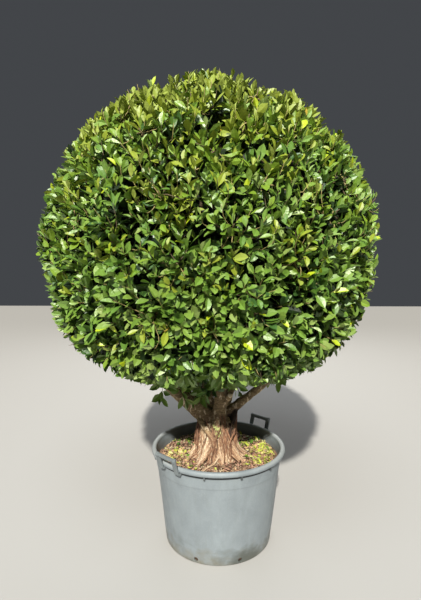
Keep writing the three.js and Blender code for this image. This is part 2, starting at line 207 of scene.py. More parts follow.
def rounded(points, count):
    """A smooth line through a few points, with `count` evenly spaced points."""
    points = np.asarray(points, float)
    before = 2 * points[0] - points[1]
    after = 2 * points[-1] - points[-2]
    ends = np.concatenate([[before], points, [after]])
    shares = np.linspace(0, 1, 9)
    parts = []
    for i in range(1, len(ends) - 2):
        start, end = ends[i], ends[i + 1]
        pull = (end - ends[i - 1]) / 6
        rest = (ends[i + 2] - start) / 6
        parts.append(bezier(start, start + pull, end - rest, end, shares))
    return even_points(np.concatenate(parts), count)


# Shapes, as arrays
class Shape:
    """Vertices with four- and three-sided faces. ridge marks vertices whose edges stay sharp."""

    def __init__(self, vertices, quads=(), triangles=(), ridge=None):
        self.vertices = np.asarray(vertices, float).reshape(-1, 3)
        self.quads = np.asarray(quads, int).reshape(-1, 4)
        self.triangles = np.asarray(triangles, int).reshape(-1, 3)
        self.ridge = np.zeros(len(self.vertices), bool) if ridge is None else ridge


def joined(shapes):
    starts = np.cumsum([0] + [len(s.vertices) for s in shapes])
    return Shape(
        np.concatenate([s.vertices for s in shapes]),
        np.concatenate([s.quads + start for s, start in zip(shapes, starts)]),
        np.concatenate([s.triangles + start for s, start in zip(shapes, starts)]),
        np.concatenate([s.ridge for s in shapes]),
    )


def repeated(faces, copies, stride):
    """The same faces for each of a number of equal copies."""
    shifts = np.arange(copies)[:, None, None] * stride
    return (np.asarray(faces) + shifts).reshape(copies * len(faces), -1)


def ring_walls(rings, sides):
    """Four-sided faces between rings of vertices that follow each other."""
    here = np.arange(sides)
    after = (here + 1) % sides
    rows = np.arange(rings - 1)[:, None] * sides
    walls = np.stack([rows + here, rows + after, rows + sides + after, rows + sides + here], -1)
    return walls.reshape(-1, 4)


def fan(middle, rim, turned=False):
    """Triangles from a middle vertex to each edge of a closed rim, or the same turned over."""
    after = np.roll(rim, -1)
    pair = [after, rim] if turned else [rim, after]
    return np.stack([np.full(len(rim), middle), *pair], -1)


def tubes(points, radii, sides):
    """One closed tube along each row of points, with a ring at every point."""
    points = np.asarray(points, float)
    count, rings = points.shape[:2]
    radii = np.broadcast_to(radii, (count, rings))
    tangent = unit(np.gradient(points, axis=1))
    axis = np.eye(3)[np.argmin(np.abs(points[:, -1] - points[:, 0]), axis=1)]
    across = unit(np.cross(tangent, axis[:, None, :]))
    over = np.cross(tangent, across)
    turn = 2 * math.pi * np.arange(sides) / sides
    ring = across[:, :, None] * np.cos(turn)[:, None] + over[:, :, None] * np.sin(turn)[:, None]
    wall = points[:, :, None] + ring * radii[:, :, None, None]
    vertices = np.concatenate([wall.reshape(count, -1, 3), points[:, :1], points[:, -1:]], axis=1)
    rim = np.arange(sides)
    pole = rings * sides
    caps = np.concatenate([fan(pole, rim, True), fan(pole + 1, rim + pole - sides)])
    walls = repeated(ring_walls(rings, sides), count, pole + 2)
    return Shape(vertices, walls, repeated(caps, count, pole + 2))


def tube(points, radii, sides):
    return tubes(np.asarray(points)[None], np.asarray(radii)[None], sides)


def lathe(profile, segments):
    """A closed surface turned round the Z axis. The profile starts and ends on the axis."""
    profile = np.asarray(profile, float)
    inner = profile[1:-1]
    turn = 2 * math.pi * np.arange(segments) / segments
    rings = around(turn, inner[:, :1], inner[:, 1:])
    rim = np.arange(segments)
    pole = len(inner) * segments
    caps = np.concatenate([fan(pole, rim, True), fan(pole + 1, rim + pole - segments)])
    poles = [[0, 0, profile[0, 1]], [0, 0, profile[-1, 1]]]
    return Shape(np.concatenate([rings.reshape(-1, 3), poles]), ring_walls(len(inner), segments), caps)


def mesh_of(name, shape):
    mesh = bpy.data.meshes.new(name)
    corners = np.concatenate([shape.quads.ravel(), shape.triangles.ravel()])
    sizes = np.concatenate([np.full(len(shape.quads), 4), np.full(len(shape.triangles), 3)])
    starts = np.concatenate([[0], np.cumsum(sizes)[:-1]])
    mesh.vertices.add(len(shape.vertices))
    mesh.vertices.foreach_set("co", shape.vertices.astype(np.float32).ravel())
    mesh.loops.add(len(corners))
    mesh.loops.foreach_set("vertex_index", corners.astype(np.int32))
    mesh.polygons.add(len(sizes))
    mesh.polygons.foreach_set("loop_start", starts.astype(np.int32))
    mesh.update(calc_edges=True)
    mesh.polygons.foreach_set("use_smooth", np.ones(len(sizes), bool))
    if shape.ridge.any():
        edges = np.empty(len(mesh.edges) * 2, np.int32)
        mesh.edges.foreach_get("vertices", edges)
        sharp = shape.ridge[edges.reshape(-1, 2)].all(axis=1)
        mesh.attributes.new("sharp_edge", "BOOLEAN", "EDGE").data.foreach_set("value", sharp)
    return mesh


def linked(name, data):
    made = bpy.data.objects.new(name, data)
    bpy.context.scene.collection.objects.link(made)
    return made


def object_of(name, shape):
    return linked(name, mesh_of(name, shape))


def dressed(made, look, nodes=()):
    """Gives a piece its material, body and the CAD nodes that it stands for."""
    made.data.materials.clear()
    made.data.materials.append(look)
    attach(made, "root")
    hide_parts(*nodes)
    return made


def piece(name, shape, look, nodes=()):
    return dressed(object_of(name, shape), look, nodes)


def painted(made, **fields):
    """Gives every vertex a number under each name, for the materials."""
    for name, values in fields.items():
        data = made.data.attributes.new(name, "FLOAT", "POINT").data
        data.foreach_set("value", values.astype(np.float32))


def smooth_shaded(made):
    made.data.polygons.foreach_set("use_smooth", np.ones(len(made.data.polygons), bool))
    return made


def applied(made):
    """Makes the result of every modifier the object's own mesh."""
    graph = bpy.context.evaluated_depsgraph_get()
    mesh = bpy.data.meshes.new_from_object(made.evaluated_get(graph))
    made.modifiers.clear()
    made.data = mesh
    return made


def fused(made, voxel, smoothing):
    """Fuses overlapping closed shapes into one skin."""
    remesh = made.modifiers.new("fuse", "REMESH")
    remesh.mode = "VOXEL"
    remesh.voxel_size = voxel
    smooth = made.modifiers.new("smooth", "SMOOTH")
    smooth.factor = 0.5
    smooth.iterations = smoothing
    return smooth_shaded(applied(made))


def thinned(made, share):
    """Keeps this share of the faces, most of them where the surface is curved."""
    made.modifiers.new("thin", "DECIMATE").ratio = share
    return applied(made)


def rows_of(values, field):
    """A mesh's vertices or normals, as an array."""
    rows = np.empty(len(values) * 3, np.float32)
    values.foreach_get(field, rows)
    return rows.reshape(-1, 3).astype(float)


def vertices_of(made):
    return rows_of(made.data.vertices, "co")


def moved(made, places):
    made.data.vertices.foreach_set("co", places.astype(np.float32).ravel())
    made.data.update()
    return made


# Materials
class Look:
    """A material with one Principled shader, whose nodes are added one at a time."""

    def __init__(self, name, roughness):
        self.material = bpy.data.materials.new(name)
        self.material.use_nodes = True
        self.tree = self.material.node_tree
        self.shader = self.tree.nodes["Principled BSDF"]
        self.set("Roughness", roughness)

    def connect(self, value, socket):
        if isinstance(value, bpy.types.NodeSocket):
            self.tree.links.new(value, socket)
        elif isinstance(value, tuple) and len(value) == 3 and socket.type == "RGBA":
            socket.default_value = (*value, 1.0)
        else:
            socket.default_value = value

    def set(self, socket, value):
        self.connect(value, self.shader.inputs[socket])

    def add(self, kind, inputs, **settings):
        made = self.tree.nodes.new(kind)
        for name, value in settings.items():
            setattr(made, name, value)
        for socket, value in inputs.items():
            self.connect(value, made.inputs[socket])
        return made

    def place(self):
        return self.add("ShaderNodeTexCoord", {}).outputs["Object"]

    def noise_at(self, vector, scale, detail, distortion=0.0):
        inputs = {"Vector": vector, "Scale": scale, "Detail": detail, "Distortion": distortion}
        return self.add("ShaderNodeTexNoise", inputs).outputs["Fac"]

    def noise(self, size, stretch=(1, 1, 1), detail=4.0, distortion=0.0):
        """Noise with spots about `size` across, pulled out by `stretch` along each axis."""
        scale = tuple(1 / (size * s) for s in stretch)
        mapped = self.add("ShaderNodeMapping", {"Vector": self.place(), "Scale": scale})
        return self.noise_at(mapped.outputs["Vector"], 1.0, detail, distortion)

    def spots(self, low, high, *pattern):
        """Noise with its level `low` as 0 and its level `high` as 1."""
        return self.between(self.noise(*pattern), low, high)

    def height(self, low, high):
        """0 at height `low` and 1 at height `high`."""
        z = self.add("ShaderNodeSeparateXYZ", {"Vector": self.place()}).outputs["Z"]
        return self.between(z, low, high)

    def between(self, value, low, high):
        inputs = {"Value": value, "From Min": low, "From Max": high}
        return self.add("ShaderNodeMapRange", inputs).outputs["Result"]

    def math(self, operation, a, b):
        return self.add("ShaderNodeMath", {0: a, 1: b}, operation=operation).outputs[0]

    def mix(self, share, a, b):
        made = self.add("ShaderNodeMix", {}, data_type="RGBA")
        self.connect(share, made.inputs["Factor"])
        colours = [s for s in made.inputs if s.type == "RGBA"]
        self.connect(a, colours[0])
        self.connect(b, colours[1])
        return next(s for s in made.outputs if s.type == "RGBA")

    def laid(self, base, colour, share, strength):
        """A colour over the base where `share` is high, no denser than `strength`."""
        return self.mix(self.math("MULTIPLY", share, strength), base, colour)

    def attribute(self, name):
        return self.add("ShaderNodeAttribute", {}, attribute_name=name).outputs["Fac"]

    def bump(self, height, distance, strength=1.0, sockets=("Normal",)):
        inputs = {"Height": height, "Distance": distance, "Strength": strength}
        bumped = self.add("ShaderNodeBump", inputs).outputs["Normal"]
        for socket in sockets:
            self.set(socket, bumped)


def pot_look(name, light, dark):
    """Weathered grey nursery plastic, mottled and streaked, with dirt and a dark patch at the foot, a painted
    shadow under the lip, painted shade inside and a painted highlight on the rim's top.
    """
    look = Look(name, 0.55)
    green_black = (0.070, 0.078, 0.066)
    body = look.mix(look.spots(0.32, 0.68, 0.09, (1, 1, 1.6), 6.0, 0.6), dark, light)
    streaks = look.spots(0.45, 0.8, 0.012, (1, 1, 16), 3.0)
    body = look.laid(body, (0.190, 0.216, 0.222), streaks, 0.35)
    specks = look.spots(0.56, 0.72, 0.0035, (1, 1, 1), 2.0)
    body = look.laid(body, (0.40, 0.43, 0.43), specks, 0.3)
    splash = look.math("ADD", look.height(0.135, 0.0), look.spots(0.75, 0.1, 0.05, (1, 1, 0.7), 5.0))
    body = look.laid(body, (0.165, 0.145, 0.095), look.between(splash, 0.75, 1.55), 0.7)
    mould = look.spots(0.50, 0.68, 0.11, (1, 1, 0.8), 4.0, 0.5)
    body = look.laid(body, green_black, look.math("MULTIPLY", mould, look.height(0.17, 0.03)), 0.5)
    dark_patch_share = look.math("MULTIPLY", look.noise(0.045, (1, 1, 0.6), 5.0), 0.7)
    dark_patch_share = look.between(look.math("ADD", dark_patch_share, look.attribute("stain")), 0.72, 1.10)
    body = look.laid(body, green_black, dark_patch_share, 0.75)
    # painted highlight: the top of the rim paler towards its sides
    body = look.laid(body, (0.375, 0.405, 0.405), look.attribute("worn"), 0.75)
    # painted shade: the inner wall darkened
    body = look.laid(body, (0.130, 0.126, 0.104), look.attribute("inside"), 0.38)
    # painted shadow: near-black just under the lip, where the rim shades the wall
    body = look.mix(look.attribute("groove"), body, (0.009, 0.011, 0.013))
    look.set("Base Color", body)
    look.set("Roughness", look.between(look.noise(0.03, (1, 1, 2), 4.0), 1.45, -0.35))
    look.bump(look.noise(0.004, (1, 1, 1), 5.0), 0.0005, 0.5)
    return look.material


def soil_look():
    look = Look("soil", 0.95)
    crumbs = look.spots(0.38, 0.62, 0.012, (1, 1, 1), 6.0, 0.4)
    colour = look.mix(crumbs, (0.060, 0.034, 0.021), (0.24, 0.15, 0.09))
    patches = look.spots(0.4, 0.65, 0.06, (1, 1, 1), 3.0)
    look.set("Base Color", look.laid(colour, (0.33, 0.20, 0.13), patches, 0.6))
    look.bump(look.noise(0.006, (1, 1, 1), 5.0), 0.004)
    return look.material


def bark_look():
    """Pale tan and reddish strands near the soil, with painted shade between them, and darker olive-brown
    bark above, partly its own colour and partly painted shade, with painted sunflecks.
    """
    look = Look("bark", 0.85)
    flow = look.add("ShaderNodeAttribute", {}, attribute_name="flow").outputs["Vector"]
    grain = look.noise_at(flow, 1.0, 4.0)
    tone = look.math("MULTIPLY", look.attribute("strand"), 0.55)
    tone = look.math("ADD", tone, look.math("MULTIPLY", look.between(grain, 0.32, 0.68), 0.45))
    pale = look.mix(look.between(tone, 0.20, 0.42), (0.22, 0.105, 0.060), (0.44, 0.285, 0.160))
    pale = look.mix(look.between(tone, 0.45, 0.72), pale, (0.76, 0.63, 0.44))
    thread = look.between(look.noise_at(flow, 0.62, 2.0), 0.52, 0.60)
    pale = look.laid(pale, (0.20, 0.092, 0.050), thread, 0.8)
    flush = look.spots(0.52, 0.66, 0.022, (1, 1, 1.8), 4.0, 0.8)
    pale = look.laid(pale, (0.38, 0.19, 0.115), flush, 0.35)
    ripple = look.noise(0.014, (1.6, 1.6, 0.5), 5.0, 1.2)
    dark = look.mix(look.between(ripple, 0.36, 0.66), (0.115, 0.077, 0.037), (0.36, 0.262, 0.134))
    # painted sunlight: pale flecks on the upper bark
    painted_sunflecks = look.spots(0.58, 0.63, 0.016, (1, 1, 2.4), 5.0, 0.6)
    dark = look.laid(dark, (0.80, 0.66, 0.46), painted_sunflecks, 0.9)
    # darker above, partly the bark's own colour and partly painted shade
    rise = look.math("ADD", look.height(0.575, 0.665), look.spots(-0.5, 2.2, 0.05, (1, 1, 1.4)))
    colour = look.mix(look.between(rise, 0.45, 1.05), pale, dark)
    # painted shade in the hollows between strands, near the soil
    hollow = look.math("MULTIPLY", look.attribute("hollow"), look.between(rise, 2.2, 0.55))
    colour = look.laid(colour, (0.085, 0.040, 0.024), hollow, 0.85)
    # the dark roots turn near-black, partly as painted shade in their corner
    web = look.between(look.attribute("strand"), -0.1, -0.6)
    look.set("Base Color", look.mix(web, colour, (0.045, 0.025, 0.016)))
    look.bump(look.math("ADD", grain, ripple), 0.0020, 0.9)
    return look.material


def twig_look(name, light, dark):
    look = Look(name, 0.7)
    look.set("Base Color", look.mix(look.spots(0.35, 0.65, 0.03), dark, light))
    look.bump(look.noise(0.004, (1, 1, 1), 3.0), 0.0006, 0.6)
    return look.material


def leaf_look(name, colour, roughness, coat):
    look = Look(name, roughness)
    look.set("Base Color", colour)
    look.set("Coat Weight", coat)
    look.set("Coat Roughness", 0.43)
    look.set("Coat IOR", 1.6)
    look.set("Specular IOR Level", 0.2)
    look.bump(look.noise(0.014, (1, 1, 1), 1.0), 0.0022, 1.0, ("Normal", "Coat Normal"))
    return look.material


# Pot
LIP_FOOT = POT_HEIGHT - ROLL_HEIGHT


def wall_radius(z):
    return lerp(POT_BASE, POT_NECK, z / LIP_FOOT)


def inner_radius(z):
    return wall_radius(z) - POT_WALL


def arc(centre, radii, from_deg, to_deg, steps):
    turn = np.radians(np.linspace(from_deg, to_deg, steps))
    return [(centre[0] + radii[0] * math.cos(a), centre[1] + radii[1] * math.sin(a)) for a in turn]


def pot_profile():
    """The pot's section, from the middle of its underside round the rim to the middle of its floor."""
    band = wall_radius(BAND["height"])
    mouth = inner_radius(LIP_FOOT)
    roll_middle = ((POT_RIM + mouth + 0.002) / 2, POT_HEIGHT - ROLL_HEIGHT / 2)
    roll_reach = (POT_RIM - roll_middle[0], ROLL_HEIGHT / 2)
    lower = np.linspace((POT_BASE, FOOT_ROUND), (band - BAND["in"], BAND["height"]), 22)[1:]
    heights = np.linspace(BAND["height"] + BAND["rise"], LIP_FOOT - 0.003, 28)
    upper = [(wall_radius(z) + BAND["out"], z) for z in heights]
    inner = [(inner_radius(z), z) for z in np.linspace(LIP_FOOT, POT_FLOOR + 0.01, 24)]
    return [
        (0, 0),
        (POT_BASE * 0.5, 0),
        *arc((POT_BASE - FOOT_ROUND, FOOT_ROUND), (FOOT_ROUND, FOOT_ROUND), -90, 0, 6),
        *lower,
        (band - BAND["in"] / 2, BAND["height"] + 0.003),
        *upper,
        (POT_NECK, LIP_FOOT + LIP["hollow"]),
        (POT_NECK + LIP["thick"], LIP_FOOT + LIP["hollow"] + 0.001),
        (roll_middle[0] + 0.001, LIP_FOOT + LIP["hollow"]),
        (roll_middle[0] + 0.002, LIP_FOOT + 0.002),
        *arc(roll_middle, roll_reach, -75, 180, 26),
        (mouth + 0.0015, POT_HEIGHT - ROLL_HEIGHT * 0.8),
        *inner,
        (inner_radius(0) - 0.012, POT_FLOOR),
        (POT_BASE * 0.5, POT_FLOOR),
        (0, POT_FLOOR),
    ]


def rib_shape(azimuth):
    """A small fin under the rim, rounded at its lower outer corner."""
    outer = POT_NECK + RIBS["reach"]
    low = LIP_FOOT - RIBS["drop"]
    top = LIP_FOOT + 0.004
    outline = [(POT_NECK - 0.004, top), (POT_NECK - 0.004, low), (POT_NECK + 0.003, low)]
    outline += arc((outer - 0.007, low + 0.009), (0.007, 0.008), -70, 0, 5)
    outline.append((outer, top))
    radial = around(azimuth, 1)
    across = np.array([-radial[1], radial[0], 0]) * RIBS["width"] / 2
    middle = np.array([radial * r + UP * z for r, z in outline])
    count = len(outline)
    cap = np.array([(0, i, i + 1) for i in range(1, count - 1)])
    caps = np.concatenate([cap, cap[:, ::-1] + count])
    return Shape(np.concatenate([middle - across, middle + across]), ring_walls(2, count)[:, ::-1], caps)


def pot_piece(look):
    made = object_of("pot_shell", lathe(pot_profile(), 256))
    drills = []
    for i in range(DRAINS["count"]):
        azimuth = math.radians(DRAINS["first_deg"]) + 2 * math.pi * i / DRAINS["count"]
        through = [around(azimuth, r, DRAINS["height"]) for r in (POT_BASE - 0.04, POT_BASE + 0.03)]
        drills.append(tube(through, [DRAINS["radius"]] * 2, 24))
    cutter = object_of("drills", joined(drills))
    cut = made.modifiers.new("drains", "BOOLEAN")
    cut.operation = "DIFFERENCE"
    cut.object = cutter
    cut.solver = "EXACT"
    applied(made)
    bpy.data.objects.remove(cutter)
    places = vertices_of(made)
    out = unit(places * [1, 1, 0])
    uneven = waves(places, 0.22, 3) * 0.0012 * np.minimum(1, places[:, 2] / 0.1)
    moved(made, places + out * uneven[:, None])
    smooth_shaded(made).data.set_sharp_from_angle(angle=math.radians(50))
    paint_pot(made, *places.T)
    return dressed(made, look, ["pot"])


def paint_pot(made, x, y, z):
    """Where the pot gets a painted shadow under its lip, painted shade inside, a painted highlight on the top
    of its rim towards the sides, and a dark patch at its foot.
    """
    radius = np.hypot(x, y)
    under_lip = (np.abs(radius - POT_NECK - 0.004) < 0.008) & (z < LIP_FOOT + LIP["hollow"] + 0.003)
    # painted shadow just under the lip
    groove = under_lip * ramp(z, LIP_FOOT - 0.0155, LIP_FOOT - 0.0125)
    # painted shade on the inner wall
    inside = (radius < wall_radius(z) - POT_WALL * 0.6) & (z < LIP_FOOT)
    # painted highlight on the top of the rim, towards its sides
    worn = ramp(z, POT_HEIGHT - ROLL_HEIGHT * 0.5, POT_HEIGHT - ROLL_HEIGHT * 0.1)
    worn *= ramp(np.abs(x) / POT_RIM, 0.35, 0.75)
    from_stain = (np.degrees(np.arctan2(y, x)) % 360 - DARK_PATCH["azimuth_deg"]) / DARK_PATCH["spread_deg"]
    stain = np.exp(-(from_stain**2) - (z / DARK_PATCH["height"]) ** 2)
    painted(made, groove=groove, inside=inside, worn=worn, stain=stain)


def ribs_piece(look):
    """The ribs, evenly spaced round the pot, but none where a handle is."""
    fins = []
    for i in range(RIBS["count"]):
        if i % (RIBS["count"] // 2):
            fins.append(rib_shape(math.radians(RIBS["first_deg"] + 360 * i / RIBS["count"])))
    made = object_of("pot_ribs", joined(fins))
    made.data.set_sharp_from_angle(angle=math.radians(30))
    return dressed(made, look)


def prism(outline, from_y, to_y):
    """A flat outline in the XZ plane, drawn out along Y, with both ends closed."""
    count = len(outline)
    middle = np.mean(outline, axis=0)
    rims = [(x, y, z) for y in (from_y, to_y) for x, z in outline]
    middles = [(middle[0], y, middle[1]) for y in (from_y, to_y)]
    rim = np.arange(count)
    caps = np.concatenate([fan(2 * count, rim), fan(2 * count + 1, rim + count, True)])
    return Shape(rims + middles, ring_walls(2, count)[:, [0, 3, 2, 1]], caps)


def handle_piece(name, azimuth_deg, look):
    """Two moulded legs that hook under the rim, and a round grip between them."""
    face = POT_RIM - 0.0015
    waist = POT_HEIGHT - ROLL_HEIGHT / 2
    grip_height = POT_HEIGHT + HANDLE["rise"]
    top = grip_height + HANDLE["grip"] * 0.7
    lean = math.tan(math.radians(HANDLE["lean_deg"]))
    thick = HANDLE["thickness"]
    outline = [  # a leg's section, from its hook under the rim up its inner face and down its outer one
        (POT_NECK - 0.0022, LIP_FOOT - 0.0003),
        (POT_RIM - 0.004, LIP_FOOT - 0.0003),
        (face, waist - 0.008),
        (face + lean * (top - waist), top),
        (face + lean * (top - waist) + thick, top - 0.004),
        (face + thick, waist - 0.006),
        (face + thick - 0.002, LIP_FOOT - 0.004),
        (face - 0.006, LIP_FOOT - 0.015),
        (POT_NECK + 0.0018, LIP_FOOT - 0.011),
    ]
    reach = HANDLE["width"] / 2
    grip_out = face + lean * (grip_height - waist) + thick / 2
    along = np.linspace(-reach + 0.004, reach - 0.004, 25)
    swell = 1 + 0.25 * np.exp(-((reach - 0.004 - np.abs(along)) / 0.010) ** 2)
    grip = tube([(grip_out, y, grip_height) for y in along], HANDLE["grip"] * swell, 20)
    legs = [prism(outline, reach - HANDLE["leg"], reach), prism(outline, -reach, HANDLE["leg"] - reach)]
    made = fused(object_of(name + "_bracket", joined([*legs, grip])), HANDLE["voxel"], 4)
    cos, sin, _ = around(math.radians(azimuth_deg), 1)
    moved(made, vertices_of(made) @ np.array([[cos, sin, 0], [-sin, cos, 0], [0, 0, 1]]))
    return dressed(made, look, [name])


# Soil and litter
def soil_height(x, y):
    """Uneven ground, a little higher round the trunk."""
    places = np.stack([x, y, np.zeros_like(x)], -1)
    out = np.hypot(x, y)
    mound = 0.007 * np.exp(-((out / 0.17) ** 2)) - SOIL_FALL * ramp(out, 0.222, 0.312)
    return SOIL_LEVEL + mound + 0.004 * waves(places, 0.07, 21) + 0.002 * waves(places, 0.025, 22)


def soil_piece(look):
    foot = POT_FLOOR + 0.001
    rings = [(r, SOIL_LEVEL) for r in np.linspace(inner_radius(SOIL_LEVEL) - 0.002, 0.004, 60)]
    profile = [(0, foot), (inner_radius(foot) - 0.002, foot), *rings, (0, SOIL_LEVEL)]
    made = object_of("soil_bed", lathe(profile, 160))
    places = vertices_of(made)
    top = places[:, 2] > SOIL_LEVEL - 0.01
    places[top, 2] = soil_height(places[top, 0], places[top, 1])
    return dressed(moved(made, places), look, ["soil"])


def litter_places(rng, count, focus):
    """Places on the soil, more of them near the given azimuths, as (azimuth, spread, share) rows."""
    picks = rng.choice(len(focus), count, p=[row[2] for row in focus])
    azimuth, spread, _ = np.radians(focus)[picks].T
    azimuth = azimuth + rng.normal(size=count) * spread
    out = lerp(0.13, wall_radius(SOIL_LEVEL) - 0.034, np.sqrt(rng.uniform(0.02, 1, count)))
    return np.cos(azimuth) * out, np.sin(azimuth) * out


def chips_piece(name, look, seed, count, sizes):
    """Thin broken bits of bark and dead leaf that lie on the soil."""
    rng = np.random.default_rng(seed)
    x, y = litter_places(rng, count, ALL_ROUND)
    corners = 6
    thick = UP * 0.0012
    length = rng.uniform(*sizes, (count, 1))
    turn = rng.uniform(0, 2 * math.pi, (count, 1))
    angle = 2 * math.pi * np.arange(corners) / corners + rng.uniform(-0.4, 0.4, (count, corners))
    reach = rng.uniform(0.55, 1.0, (count, corners)) * length / 2
    along = np.cos(angle) * reach
    across = np.sin(angle) * reach * rng.uniform(0.25, 0.6, (count, 1))
    uneven = rng.normal(size=(count, corners)) * 0.0016
    tilt = rng.normal(size=(count, 2)) * 0.28
    over = uneven + (along * tilt[:, :1] + across * tilt[:, 1:])
    cos, sin = np.cos(turn), np.sin(turn)
    spun = np.stack([along * cos - across * sin, along * sin + across * cos, over], -1)
    lift = soil_height(x, y) + rng.uniform(0.002, 0.019, count)
    middle = np.stack([x, y, lift], -1)[:, None]
    vertices = np.concatenate([spun + middle, middle + thick, middle - thick], axis=1)
    rim = np.arange(corners)
    faces = np.concatenate([fan(corners, rim), fan(corners + 1, rim, True)])
    return piece(name, Shape(vertices, (), repeated(faces, count, corners + 2)), look)


# Leaves
LEAF_ROWS = [(0.13, 0.014), (0.33, 0.150), (0.57, 0.232), (0.82, 0.160)]  # share of its length, half width


def leaf_shapes(roots, alongs, faces, lengths, bends, folds, twists):
    """Leaves on their stalks: each runs from its root along `alongs`, with its upper side to `faces`."""
    rows = np.array(LEAF_ROWS)
    share = np.concatenate([[0], np.repeat(rows[:, 0], 3), [1]])
    side = np.concatenate([[0], np.tile([-1, 0, 1], len(rows)), [0]])
    width = np.concatenate([[0], np.repeat(rows[:, 1], 3), [0]])
    x = unit(alongs)
    z = unit(faces - (faces * x).sum(-1, keepdims=True) * x)
    y = np.cross(z, x)
    bend = np.where(np.abs(bends) < 0.02, 0.02, bends)[:, None]
    turn = bend * share
    ahead = np.sin(turn) / bend
    down = (1 - np.cos(turn)) / bend
    across = side * width * np.cos(folds)[:, None]
    over = np.abs(side) * width * np.sin(folds)[:, None]
    twist = twists[:, None] * share
    sideways = across * np.cos(twist) - over * np.sin(twist)
    upward = across * np.sin(twist) + over * np.cos(twist)
    along = ahead + upward * np.sin(turn)
    height = upward * np.cos(turn) - down
    local = along[..., None] * x[:, None] + sideways[..., None] * y[:, None] + height[..., None] * z[:, None]
    vertices = roots[:, None] + local * lengths[:, None, None]
    count, stride = len(roots), len(share)
    tip = stride - 1
    quads = []
    for r in range(len(rows) - 1):
        a = 1 + 3 * r
        quads += [(a, a + 3, a + 4, a + 1), (a + 1, a + 4, a + 5, a + 2)]
    last = tip - 3
    triangles = [(0, 1, 2), (0, 2, 3), (last, tip, last + 1), (last + 1, tip, last + 2)]
    ridge = np.tile(side == 0, count)
    return Shape(vertices, repeated(quads, count, stride), repeated(triangles, count, stride), ridge)


def fallen_leaves(name, look, seed, count, focus, sizes):
    rng = np.random.default_rng(seed)
    x, y = litter_places(rng, count, focus)
    lift = soil_height(x, y) + rng.uniform(0.004, 0.020, count)
    along = around(rng.uniform(0, 2 * math.pi, count), 1, rng.uniform(-0.3, 0.3, count))
    face = UP + rng.uniform(-0.55, 0.55, (count, 3)) - [0, 0.15, 0]
    face[rng.uniform(size=count) < 0.3] *= -1
    length = rng.uniform(*sizes, count)
    shape = leaf_shapes(
        np.stack([x, y, lift], -1) - unit(along) * length[:, None] / 2,
        along,
        face,
        length,
        rng.normal(size=count) * 0.7,
        rng.uniform(0.1, 0.6, count),
        rng.normal(size=count) * 0.5,
    )
    return piece(name, shape, look)


# Trunk and boughs
def bough_curve(name, count=120):
    """Evenly spaced points along a bough, from inside the fork to its tip under the crown."""
    azimuth_deg, rise_deg, fork, end, *_ = BOUGHS[name]
    foot = np.array([*TRUNK_CENTRE, fork]) + around(math.radians(azimuth_deg), BOUGH_START)
    tip = np.array([*end, BOUGH_END])
    tip_azimuth = math.degrees(math.atan2(tip[1] - foot[1], tip[0] - foot[0]))
    pull_start = foot + heading(azimuth_deg, rise_deg) * BOUGH_PULL[0]
    pull_end = tip - heading(tip_azimuth, TIP_RISE_DEG) * BOUGH_PULL[1]
    return even_points(bezier(foot, pull_start, pull_end, tip, np.linspace(0, 1, 200)), count)


def bough_radius(name, share):
    *_, foot, tip, _ = BOUGHS[name]
    return lerp(tip, foot, (1 - share) ** 1.25) * (1 + 0.2 * np.exp(-share * 7))


def trunk_radius(z, azimuth):
    flare = np.exp(-(z - SOIL_LEVEL) / TRUNK["flare_height"])
    lobe = 1 + (0.04 + 0.1 * flare) * np.cos(TRUNK["lobes"] * azimuth + 0.6)
    return lerp(TRUNK["waist"], TRUNK["flare"], flare) * lobe


def trunk_point(azimuth, out, z):
    """A point at a height and a distance out from the trunk's middle, or a row of them."""
    return around(azimuth, out, z) + [*TRUNK_CENTRE, 0]


def trunk_column():
    foot = SOIL_LEVEL - 0.02
    levels = np.linspace(foot, TRUNK["head"], 60)
    turn = 2 * math.pi * np.arange(96) / 96
    share = (levels - foot) / (TRUNK["head"] - foot)
    closing = np.sqrt(np.maximum(0, 1 - np.maximum(0, (share - 0.72) / 0.3) ** 2))
    radius = trunk_radius(levels[:, None], turn) * closing[:, None]
    shape = lathe([(0, foot), *[(1, z) for z in levels], (0, TRUNK["head"])], len(turn))
    shape.vertices[:-2] = trunk_point(turn, radius, levels[:, None]).reshape(-1, 3)
    shape.vertices[-2:, :2] = TRUNK_CENTRE
    return shape


def buttress(azimuth_deg, reach, radius):
    azimuth = math.radians(azimuth_deg)
    side = TRUNK["waist"] - radius * 0.35
    points = [
        trunk_point(azimuth, side - 0.008, BUTTRESS_TOP),
        trunk_point(azimuth, side, lerp(SOIL_LEVEL, BUTTRESS_TOP, 0.55)),
        trunk_point(azimuth, lerp(side, reach, 0.38), SOIL_LEVEL + 0.034),
        trunk_point(azimuth, lerp(side, reach, 0.8), SOIL_LEVEL + 0.007),
        trunk_point(azimuth, reach, SOIL_LEVEL - 0.006),
    ]
    line = rounded(points, 40)
    share = np.linspace(0, 1, 40)
    return line, radius * (0.45 + 0.75 * np.sin(math.pi * np.minimum(1, share + 0.12)))


def strand_bundle(line, radius, seed):
    """Finer roots laid side by side along a buttress root."""
    rng = np.random.default_rng(seed)
    tangent = unit(np.gradient(line, axis=0))
    across = unit(np.cross(tangent, UP))
    over = np.cross(across, tangent)
    share = np.linspace(0, 1, len(line))
    strands = []
    for angle_deg in np.linspace(-84, 84, 10):
        angle = math.radians(angle_deg + rng.uniform(-7, 7)) + rng.normal() * 0.22 * share
        angle += 0.20 * np.sin(share * rng.uniform(6, 16) + rng.uniform(0, 6))
        way = across * np.sin(angle)[:, None] + over * np.cos(angle)[:, None]
        out = radius * rng.uniform(0.80, 0.98)
        strands.append((line + way * out[:, None], radius * rng.uniform(0.15, 0.24) + 0.0006))
    return strands


